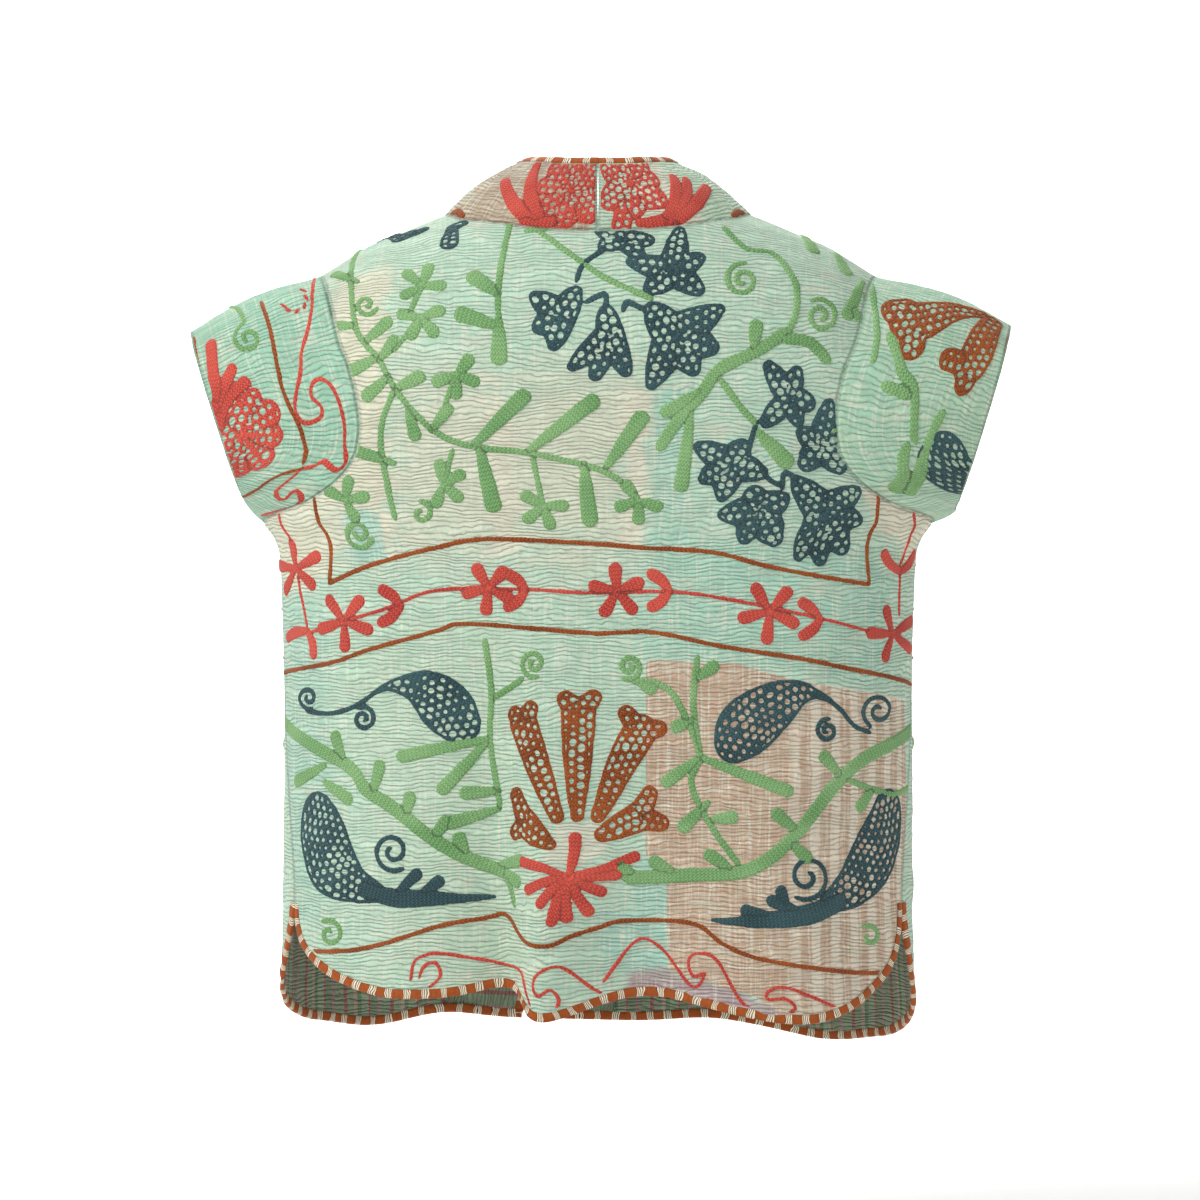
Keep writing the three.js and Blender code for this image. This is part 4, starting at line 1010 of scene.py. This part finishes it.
def star(x, z, reach, width, turn, count=5, spread=360):
    """Petals or fingers round a point."""
    angles = np.radians(turn + spread * np.arange(count) / (count if spread == 360 else max(count - 1, 1)))
    return [leaf(width, x + 2 * np.cos(a), z + 2 * np.sin(a), x + reach * np.cos(a),
                 z + reach * np.sin(a)) for a in angles]


def fan(x, z, foot, *knobs):
    """Lobes from a foot to knobs (across, up, half width)."""
    rows = np.array(knobs, float).reshape(-1, 3)
    return [blob(x, z, foot, x + 0.6 * (a - x), z + 0.6 * (b - z), (foot + r) / 2 + 0.8, a, b, r) for a, b,
            r in rows]


def many(hoop, maker, width, *rows):
    for row in rows:
        sew(hoop, maker(width, *row))


half = [side_seam("back")[::12], underarm("back")[::6], armhole("back")[::9], half_top[::-1][::10]]
other = [half_top[::10], armhole("back")[::-9], underarm("back")[::-6], side_seam("back")[::-12]]
outline = np.vstack([back_hem[::6], *half, *(mirrored(line, -1) for line in other)])


def off_edge(s, w, edge):
    """Room for the stitching inside a panel's edge: less beside the vents and the hem."""
    return inside_of(np.stack([s, w], -1), edge) - SEAM_CLEAR - VENT_CLEAR * (w < VENT_TOP)


hoops = {thread: new_hoop((-332, -700), (332, 95)) for thread in THREADS}
green, teal, red, rust = hoops.values()

# Frame and border lines.
many(rust, stem, 4.2, (240, -242, 228, -280, 226, -316), (226, -316, 190, -300, 136, -286, 92, -279, 0, -283, -36,
                                                          -286, -96, -290, -140, -301, -187, -310, -229, -317),
     (-229, -317, -234, -270, -237, -231), (275, -394, 230, -384, 196, -373, 136, -356, 114, -350, 50, -354, 0,
                                            -358, -46, -357, -105, -369, -174, -380, -217, -389, -290, -405),
     (242, -628, 196, -623, 136, -604, 101, -597, 82, -594, 66, -608, 50, -617, 28, -618, 14, -611, -4, -604, -24,
      -599, -79, -601, -105, -618, -139, -631, -217, -644, -250, -646))

# Red chain of flowers and tulips.
many(red, stem, 3.4, (244, -358, 183, -339, 136, -322, 60, -321, 7, -324, -60, -323, -113, -330, -185, -345, -234,
                      -358), (270, -245, 270, -262, 256, -300), (254, -310, 246, -352), (-257, -343, -257, -308),
     (-257, -300, -264, -284, -268, -255))
for x, z, reach, turn in ((256, -303, 20, 80), (213, -348, 21, 55), (92, -320, 18, 60), (-16, -323, 19, 85),
                          (-144, -340, 22, 60), (-251, -359, 20, 75)):
    sew(red, *star(x, z, reach, 11.5, turn))
for x, z, turn in ((166, -335, 0), (60, -322, 0), (-60, -322, 0), (-187, -346, 0), (-257, -306, 90),
                   (246, -356, -60)):
    ahead = math.radians(turn)
    for a in (math.radians(turn + 52), math.radians(turn - 52)):
        sew(red, blob(x, z, 3.4, x + 11 * math.cos(a), z + 11 * math.sin(a), 5.2,
                      x + 17 * math.cos(a) + 4 * math.cos(ahead), z + 17 * math.sin(a) + 4 * math.sin(ahead),
                      5.2))
for z, turn in ((-450, 200), (-545, 160), (-600, 190)):
    sew(red, *star(283, z, 13, 8, turn - 60, 4, 150))
for z in (-455, -580):
    sew(red, *star(-284, z, 11, 7, -50, 3, 100))
sew(teal, *fan(-292, -525, 5, -272, -505, 6, -268, -525, 6, -272, -548, 6), net=True)

# Green sprays of the upper left.
many(green, stem, 5.5, (204, -22, 210, -46, 205, -98, 184, -128, 170, -153, 138, -188, 106, -201, 57, -207, 11,
                        -217, -12, -226, -32, -240), (54, -16, 24, -38, -6, -59, -45, -77),
     (172, -154, 183, -193, 170, -262), (74, -10, 82, -50, 84, -80, 83, -100))
many(green, leaf, 14, (104, -200, 63, -160), (100, -201, 88, -250), (58, -205, 5, -164), (12, -216, 7, -262),
     (-8, -217, -36, -178), (83, -96, 83, -126), (84, -72, 104, -58), (84, -100, 114, -90))
many(green, leaf, 11, (184, -128, 172, -112), (170, -152, 150, -143), (176, -142, 194, -158),
     (160, -168, 154, -192), (172, -215, 202, -205), (204, -60, 224, -52), (205, -98, 226, -98),
     (186, -126, 206, -136), (196, -112, 178, -96), (140, -188, 126, -170), (60, -18, 40, -14))
for x, z, turn in ((149, -64, 40), (119, -141, 200), (130, -233, 150), (46, -251, 250), (-34, -246, 270),
                   (213, -246, 100), (149, -92, 230)):
    sew(green, *star(x, z, 16, 11, turn - 70, 4, 210))
for x, z, x1, z1 in ((149, -64, 160, -92), (119, -141, 128, -165), (130, -233, 122, -204), (46, -251, 55, -210),
                     (149, -92, 172, -120)):
    sew(green, stem(5, x, z, x1, z1))
for x, z, radius, start, turns in ((196, -80, 10, 200, 1.2), (149, -257, 10, 90, 1.0), (202, -274, 13, 200, 1.5),
                                   (226, -612, 12, 60, 1.2), (-122, -60, 15, 100, -1.6), (-188, -90, 15, 60, 1.6),
                                   (52, -383, 12, 250, 1.5), (-26, -386, 11, 300, -1.5),
                                   (-230, -615, 10, 60, 0.95)):
    sew(green, curl(5, x, z, radius, start, turns))

# Green sprays of the upper right.
many(green, stem, 6, (-107, -14, -126, -32, -148, -36, -164, -56, -168, -69, -166, -91, -157, -109),
     (-102, -144, -118, -166, -133, -183), (-229, -69, -229, -113, -221, -144, -221, -174, -232, -210, -240,
                                            -227), (-198, -188, -208, -184, -220, -176))
many(green, stem, 10, (-157, -105, -135, -120, -102, -137, -87, -157, -69, -177, -52, -202),
     (-157, -110, -179, -113, -194, -128))
many(green, leaf, 12, (-92, -152, -58, -172), (-78, -172, -70, -234), (-131, -118, -133, -100),
     (-226, -58, -212, -88), (-176, -15, -184, -32), (-204, -34, -212, -50), (-222, -150, -212, -136),
     (-222, -176, -206, -196), (-232, -140, -240, -232), (-228, -96, -216, -84))

# Netted flowers.
many(teal, stem, 5, (-6, -34, 12, -47, 18, -62), (10, -80, -6, -73, -6, -85), (-21, -87, -25, -80, -39, -87),
     (-133, -181, -126, -205), (-135, -214, -142, -227, -153, -234), (-155, -236, -157, -223, -168, -229))
for petal in ((31, -91, 11, 52, -76, 6, 50, -101, 6, 37, -115, 6, 18, -71, 5),
              (-10, -108, 10, -7, -88, 6, 21, -134, 5, 2, -141, 6, -23, -138, 6),
              (-64, -108, 14, -45, -87, 7, -102, -86, 5, -95, -118, 7, -79, -136, 7, -45, -149, 5.5),
              (-63, -53, 11, -69, -17, 5, -28, -45, 5, -85, -41, 6, -83, -68, 7, -45, -68, 7),
              (-21, -25, 9, -3, -18, 6, -41, -26, 7, -35, -39, 5.5, -5, -31, 5.5),
              (-161, -160, 9, -144, -134, 5.5, -167, -138, 5.5, -176, -165, 8, -142, -180, 6.5, -168, -179, 6),
              (-188, -200, 11, -195, -166, 5.5, -203, -189, 7, -172, -189, 5.5, -203, -217, 8, -176, -215, 8),
              (-112, -216, 12, -86, -202, 6, -121, -200, 6, -90, -228, 6, -104, -243, 5.5, -136, -223, 7),
              (-135, -255, 13, -106, -258, 6, -124, -277, 7, -149, -279, 7, -156, -245, 6, -131, -239, 6),
              (-190, -256, 14, -167, -230, 5.5, -218, -239, 6, -218, -264, 7, -207, -285, 8, -188, -295, 7, -170,
               -292, 6)):
    sew(teal, *fan(petal[0], petal[1], petal[2] * 1.2, *petal[3:]), net=True)
sew(green, leaf(15, -135, -190, -158, -213))
sew(teal, *fan(170, -22, 6, 186, -12, 6, 160, -16, 7, 150, -14, 6), net=True)
sew(teal, *fan(124, -14, 5, 126, -28, 8, 116, -10, 6), net=True)

# Paisleys with their curled stems and feathered tails.
sew(teal, blob(117, -433, 18, 128, -420, 23, 143, -407, 18, 160, -402, 10, 178, -403, 4, 190, -409, 2.4),
    net=True)
sew(teal, blob(-114, -450, 17, -125, -436, 25, -146, -420, 21, -166, -409, 12, -182, -409, 5, -196, -415, 2.4),
    net=True)
sew(teal, blob(238, -512, 20, 234, -530, 27, 226, -552, 27, 208, -568, 17, 186, -576, 9), net=True)
sew(teal, blob(-246, -510, 20, -242, -530, 25, -232, -552, 25, -216, -572, 18, -196, -584, 10), net=True)
many(teal, stem, 4.6, (188, -408, 206, -420, 228, -426, 248, -424),
     (-194, -414, -206, -424, -216, -436, -230, -442))
many(teal, blob, 196, (-574, 7, 170, -580, 8, 140, -580, 7, 115, -580, 4, 92, -579, 2))
many(teal, blob, -204, (-584, 8, -176, -594, 9, -140, -598, 7, -115, -599, 4, -96, -598, 2))
many(teal, leaf, 11, (170, -578, 152, -560), (150, -578, 134, -566), (-172, -592, -146, -582),
     (-150, -596, -124, -590), (-160, -590, -154, -574))
for x, z, radius, start, turns in ((198, -430, 11, 60, 1.5), (246, -413, 10, 250, 1.4),
                                   (-193, -440, 10, 100, -1.5), (-238, -424, 15, 300, 1.5),
                                   (172, -541, 17, 240, 1.5), (-176, -562, 20, 300, -1.5)):
    sew(teal, curl(4.6, x, z, radius, start, turns))

# Rust palmette and its red fingers.
for petal, tips in (((13, -511, 5, 14, -466, 11, 14, -424, 14), ((24, -413), (3, -412))),
                    ((28, -511, 6, 47, -466, 12, 60, -434, 13.5), ((68, -426), (54, -421))),
                    ((-2, -511, 6, -19, -470, 12.5, -35, -440, 15), ((-24, -425), (-51, -438))),
                    ((32, -534, 5, 46, -525, 11, 56, -517, 13), ((67, -494), (68, -524))),
                    ((-6, -526, 7, -20, -519, 11, -34, -512, 13), ((-43, -493), (-53, -517)))):
    x, z = petal[-3:-1]
    sew(rust, blob(*petal), *(blob(x, z, 11, *tip, 7.5) for tip in tips), net=True)
for x, z in ((59, -549), (51, -572), (38, -583), (28, -598), (18, -595), (4, -590), (-5, -574), (-16, -560),
             (-31, -545), (14, -529)):
    sew(red, leaf(10, 18, -561, x, z, 0.04))

# Thick vines below.
many(green, stem, 12, (290, -428, 218, -466, 196, -489, 170, -506, 136, -532, 106, -549, 82, -558),
     (-290, -436, -234, -459, -200, -485, -165, -528, -126, -556, -70, -561, -24, -563))
many(green, stem, 6, (95, -364, 90, -408, 92, -446, 85, -504), (88, -412, 74, -404, 62, -396),
     (-83, -378, -80, -415, -85, -458), (-30, -398, -50, -400, -66, -414, -85, -458, -78, -480, -84, -500, -101,
                                         -529, -118, -551), (-200, -478, -251, -495, -275, -480),
     (84, -558, 74, -572, 70, -586))
many(green, leaf, 12, (92, -446, 164, -461), (94, -448, 130, -488), (214, -470, 222, -446),
     (190, -494, 184, -470), (162, -512, 158, -496), (232, -470, 256, -484), (232, -484, 212, -498),
     (86, -505, 124, -517), (86, -490, 112, -492), (84, -556, 66, -566), (86, -552, 64, -548),
     (-86, -462, -158, -490), (-86, -462, -58, -482), (-92, -500, -72, -520), (-96, -514, -112, -512),
     (-204, -478, -190, -462), (-168, -524, -150, -510), (-112, -556, -94, -544), (-160, -532, -176, -546),
     (-66, -561, -48, -550), (-232, -490, -222, -504), (-30, -562, -20, -552), (-34, -398, -44, -404),
     (-84, -395, -96, -386), (-80, -430, -66, -436), (112, -548, 118, -530), (140, -530, 128, -516))

# Red scrolls along the hem.
many(red, stem, 3.2, (205, -654, 170, -661, 148, -658, 133, -646, 136, -634, 146, -637, 150, -647),
     (157, -648, 153, -632, 136, -626, 110, -630, 85, -636, 62, -642, 48, -662, 40, -677, 27, -677, 20, -665, 26,
      -655, 36, -660, 42, -652, 38, -642, 20, -636, 0, -654, -8, -660),
     (-8, -650, -32, -616, -53, -622, -79, -654, -90, -643, -80, -645, -76, -632, -84, -626, -100, -632, -122,
      -668, -148, -678, -165, -672, -157, -664, -142, -664, -143, -657, -160, -655, -204, -674))
for thread in THREADS:
    stitched(f"back_{thread}_stitches", hoops[thread], lambda s, w, lift: lie("back", s, w, lift), thread,
             lambda s, w: off_edge(s, w, outline))

# ======== Embroidery on the sleeves ========
# The wearer's left sleeve has red fingers, a red netted flower and thin red scrolls between rust lines.
# The right one has two rust netted petals, a round blue-green net and green sprays.
CUFF_CLEAR = 1.5


def length_at(side, round_at):
    """Length of a sleeve at a distance round it."""
    length = sleeve_length(side)
    at = np.arange(len(length) + 1) * SLEEVE_ROUND / len(length)
    return np.interp(np.asarray(round_at) % SLEEVE_ROUND, at, np.append(length, length[0]))


def seen_on_sleeve(side):
    """Finds sleeve places as seen from behind, from a fine grid over the sleeve's back half."""
    share, around = np.meshgrid(np.linspace(0, 1.15, 90), np.linspace(-12, 236, 160))
    out = share * length_at(side, around)
    points = lie_sleeve(side, out.ravel(), around.ravel())
    tree = kdtree.KDTree(len(points))
    for i, (x, y, z) in enumerate(points):
        tree.insert((x, z, 0), i)
    tree.balance()
    flat = np.stack([out.ravel(), around.ravel()], -1)
    return lambda x, z: np.array([flat[tree.find((a, b, 0))[1]] for a, b in zip(np.ravel(x), np.ravel(z))])


for side, hand in ((1, "left"), (-1, "right")):
    seen = seen_on_sleeve(side)
    hoops = {thread: new_hoop((0, -14), (140, 240)) for thread in THREADS}
    green, teal, red, rust = hoops.values()
    if side > 0:
        sew(red, *fan(303, -190, 17, 289, -158, 6, 276, -172, 9, 274, -192, 9, 284, -212, 9, 306, -222, 9, 322,
                      -200, 9), net=True)
        many(red, blob, 322, (-180, 8, 322, -150, 6, 329, -112, 5.5), (-170, 8, 316, -152, 5.5, 310, -134, 5),
             (-172, 6, 310, -156, 5, 298, -146, 5))
        many(red, stem, 3.2, (243, -54, 243, -85, 251, -130, 256, -166, 248, -180, 235, -178, 233, -167, 241,
                              -158, 240, -147, 230, -145, 219, -160, 214, -200, 212, -214, 222, -220, 232, -214,
                              240, -218, 250, -218), (250, -219, 272, -237, 268, -246, 257, -237, 251, -243, 258,
                                                      -250, 288, -258))
        for degrees in range(120, 360, 40):
            a = math.radians(degrees)
            sew(red, stem(3.4, 259 + 10 * math.cos(a), -74 + 10 * math.sin(a), 259 + 12 * math.cos(a + 0.4),
                          -74 + 12 * math.sin(a + 0.4)))
        many(rust, stem, 4.0, (288, -76, 274, -115, 263, -158, 248, -214), (304, -242, 276, -228, 248, -219),
             (346, -106, 341, -128, 334, -150))
        sew(green, curl(4.5, 297, -108, 14, 80, -1.4))
        sew(green, stem(4.5, 300, -94, 306, -82, 316, -78))
    else:
        sew(rust, blob(-330, -86, 5, -300, -84, 12, -278, -90, 17, -264, -92, 18),
            blob(-262, -84, 13, -252, -84, 12), blob(-268, -104, 12, -266, -114, 11), net=True)
        sew(rust, blob(-338, -92, 9, -326, -112, 14, -314, -134, 14), blob(-308, -130, 10, -298, -126, 9),
            blob(-312, -140, 10, -311, -147, 9), net=True)
        sew(rust, stem(4, -352, -104, -346, -130, -340, -150))
        sew(teal, blob(-298, -212, 22, -300, -220, 25, -302, -230, 22), net=True)
        many(green, stem, 8, (-248, -106, -256, -136, -268, -156, -268, -196),
             (-292, -172, -274, -214, -262, -240), (-242, -150, -262, -156), (-262, -200, -258, -226, -250, -238))
        sew(green, stem(5, -232, -60, -236, -100, -232, -130))
    for thread, hoop in hoops.items():
        if (hoop["f"] > 0).any():
            stitched(f"{hand}_sleeve_{thread}_stitches", hoop, lambda out, around,
                     lift: lie_sleeve(side, out, around, lift), thread, lambda out,
                     around: np.minimum(out - SEAM_CLEAR, length_at(side, around) - CUFF_CLEAR - out))

# ======== Embroidery on the neckband ========
# Each half has a red netted flower at the centre back and a spray of thick red fingers beside it.
# Further round, the same flowers, fingers and green leaves follow each other down the front edges.
for side, hand in ((1, "left"), (-1, "right")):
    seen = lambda x, z: np.stack([x, z], -1)
    end = BANDS[side][4][-1]
    hoops = {thread: new_hoop((0, 0), (end, BAND_WIDE)) for thread in ("red", "green", "rust")}
    red, green, rust = hoops.values()
    if side > 0:
        sew(red, *fan(28, 38, 22, 10, 62, 13, 30, 70, 13, 52, 62, 13, 56, 40, 12, 54, 20, 11, 30, 12, 12, 9, 16,
                      11), net=True)
        many(red, blob, 56, (8, 9, 76, 16, 7, 108, 40, 5), (10, 9, 72, 36, 7, 84, 64, 5.5))
        sew(red, blob(40, 6, 5, 62, 6, 8))
    else:
        sew(red, *fan(36, 44, 20, 13, 62, 11, 36, 68, 13, 57, 70, 13, 60, 48, 11, 57, 28, 12, 32, 22, 13, 11, 28,
                      11), blob(28, 26, 10, 20, 4, 9), net=True)
        many(red, blob, 62, (4, 8, 76, 22, 7, 90, 46, 5.5), (6, 8, 84, 22, 6.5, 104, 42, 5),
             (4, 8, 92, 16, 6.5, 122, 32, 5))
        sew(red, blob(36, 6, 4, 66, 5, 8))
    sew(rust, stem(6, 128, 3, 140, 5, 152, 2))
    for k, middle in enumerate((215, 385, 555, 725)):
        sew(red, *fan(middle, 36, 17, middle - 22, 48, 10, middle - 4, 58, 10, middle + 20, 52, 10, middle + 24,
                      30, 9, middle + 10, 14, 9, middle - 14, 18, 10), net=True)
        for lean in (-18, 0, 18):
            sew(red, blob(middle + 34, 30, 7, middle + 54, 32 + lean * 0.6, 6, middle + 76, 34 + lean, 4.5))
        sew(green, stem(5, middle + 86, 14, middle + 108, 34, middle + 130, 56))
        many(green, leaf, 10, (middle + 100, 26, middle + 96, 48), (middle + 112, 36, middle + 130, 26),
             (middle + 122, 48, middle + 112, 62))
    for thread, hoop in hoops.items():
        stitched(f"{hand}_neckband_{thread}_stitches", hoop, lambda run, up, lift: lie_band(side, run, up, lift),
                 thread, lambda run, up: np.minimum(np.minimum(up - SEAM_CLEAR,
                                                               BAND_WIDE - BINDING_WIDTH - 0.5 - up),
                                                    np.minimum(run - 2 * SEAM_CLEAR, end - 10 - run)))

# ======== Embroidery on the fronts ========
# The same threads and motifs as the back: a spray and a netted flower at the chest, the red chain between
# rust lines, a paisley over a thick vine, and a red scroll along the hem.
for side, hand in ((1, "left"), (-1, "right")):
    seen = lambda x, z: on_cloth("front", side * np.asarray(x), z)
    low, high = (0, 385) if side > 0 else (-385, 0)
    hoops = {thread: new_hoop((low, -720), (high, 110)) for thread in THREADS}
    green, teal, red, rust = hoops.values()
    shift = 60 if side > 0 else 0
    many(rust, stem, 4.2, (90, -290, 150, -284, 220, -296, 285, -300),
         (100, -362, 170, -370, 230, -366, 285, -380), (90 + shift, -632, 160, -620, 230, -626, 262, -628))
    many(red, stem, 3.4, (92, -326, 150, -332, 220, -326, 285, -338),
         (100 + shift, -668, 130 + shift, -650, 150 + shift, -672, 176 + shift, -652, 196 + shift, -664))
    for x, z in ((128, -328), (240, -330)):
        sew(red, *star(x, z, 16, 8.5, 70))
    for a in (math.radians(52), math.radians(-52)):
        sew(red, blob(185, -330, 3, 185 + 10 * math.cos(a), -330 + 10 * math.sin(a), 4.2, 203 + 3 * math.cos(a),
                      -330 + 15 * math.sin(a), 4))
    many(green, stem, 5.5, (150, -30, 160, -80, 150, -130, 130, -180, 124, -236),
         (196, -60, 190, -110, 176, -150, 160, -190))
    many(green, leaf, 13, (158, -70, 180, -50), (158, -92, 138, -74), (154, -116, 176, -132),
         (142, -152, 118, -140), (134, -172, 156, -190), (128, -200, 108, -220), (126, -220, 146, -236))
    sew(teal, *fan(180, -236, 15, 154, -220, 8, 158, -248, 8, 180, -262, 8, 204, -254, 8, 210, -230, 8), net=True)
    sew(teal, blob(150, -436, 18, 166, -424, 23, 184, -414, 19, 204, -408, 10, 224, -414, 4, 238, -424, 2.4),
        net=True)
    sew(teal, curl(4.6, 246, -436, 12, 100, -1.4))
    many(green, stem, 11, (290, -452, 236, -474, 200, -500, 164, -536, 120, -566))
    many(green, leaf, 12, (236, -474, 226, -452), (214, -490, 236, -502), (190, -508, 176, -490),
         (176, -526, 192, -544), (150, -546, 138, -528), (136, -558, 146, -574))
    for x, z, x1, z1, foot, r in ((206, -600, 240, -548, 6, 11), (200, -598, 204, -540, 6, 12),
                                  (192, -600, 170, -556, 6, 11)):
        sew(rust, blob(x, z, foot, (x + x1) / 2, (z + z1) / 2, (foot + r) / 2 + 1, x1, z1, r), net=True)
    edge = np.vstack([front_hem(side, BAND_SEAM)[::4], mirrored(side_seam("front")[::12], side),
                      mirrored(underarm("front")[::6], side), mirrored(armhole("front")[::9], side),
                      mirrored(shoulder("front", 6)[::-1], side), mirrored(neck_seam("front")[::9], side),
                      band_straight(side)[::-12]])
    for thread, hoop in hoops.items():
        stitched(f"{hand}_front_{thread}_stitches", hoop, lambda s, w, lift: lie("front", s, w, lift), thread,
                 lambda s, w: off_edge(s, w, edge))

# ======== Floor, light and camera ========
# A plain pale paper floor that curves up far behind. A key and a fill lamp light the garment, two broad lamps
# light the paper, and an even pale surround softens the shadows.
SWEEP = [(8.0, -0.9), (0.0, -0.9), (-4.6, -0.9), (-6.0, -0.82), (-6.9, -0.6), (-7.3, -0.2), (-7.5, 0.6),
         (-7.5, 4.5)]
SWEEP_STEPS = 60
line = smooth_line(SWEEP, SWEEP_STEPS)
verts = [(x, y, z) for x in (-8.0, 8.0) for y, z in line]
floor_mesh = bpy.data.meshes.new("floor")
floor_mesh.from_pydata(verts, [], [(i, i + 1, i + 1 + SWEEP_STEPS,
                                    i + SWEEP_STEPS) for i in range(SWEEP_STEPS - 1)])
floor_mesh.shade_smooth()
paper, tree, shader = new_material("pale_paper", 0.95, 0.0)
shader.inputs["Base Color"].default_value = (0.9, 0.9, 0.89, 1)
floor_mesh.materials.append(paper)
floor = bpy.data.objects.new("floor", floor_mesh)
bpy.context.scene.collection.objects.link(floor)


def lamp(name, place, aim, size, watts):
    light = bpy.data.lights.new(name, "AREA")
    light.shape, light.size, light.energy = "DISK", size, watts
    holder = bpy.data.objects.new(name, light)
    bpy.context.scene.collection.objects.link(holder)
    holder.location = place
    away = np.array(place, float) - np.array(aim, float)
    holder.rotation_euler = (math.atan2(math.hypot(away[0], away[1]), away[2]), 0, math.atan2(away[0], -away[1]))


MIDDLE = (0, 0, -0.35)
lamp("key_lamp", (2.0, 1.7, 2.0), MIDDLE, 1.1, 70)
lamp("fill_lamp", (-2.6, 3.0, 0.2), MIDDLE, 2.6, 14)
lamp("floor_lamp", (0.3, -2.2, 2.2), (0, -1.6, -0.9), 2.4, 75)
lamp("back_lamp", (0, -4.6, 2.6), (0, -7.2, -0.4), 3.0, 320)
world = bpy.data.worlds.new("pale_surround")
world.use_nodes = True
pale = world.node_tree.nodes["Background"].inputs
pale["Color"].default_value = (1, 1, 1, 1)
pale["Strength"].default_value = 0.5
bpy.context.scene.world = world
bpy.context.scene.view_settings.view_transform = "Standard"

view = bpy.data.cameras.new("camera")
view.sensor_width = 36
VIEW_FROM, VIEW_WIDE = 4.5, 1.032  # metres to the garment, and metres across the view there
view.lens = view.sensor_width * VIEW_FROM / VIEW_WIDE
holder = bpy.data.objects.new("camera", view)
holder.location = (-0.0017, VIEW_FROM, -0.33)
holder.rotation_euler = (math.pi / 2, 0, math.pi)
bpy.context.scene.collection.objects.link(holder)
bpy.context.scene.camera = holder
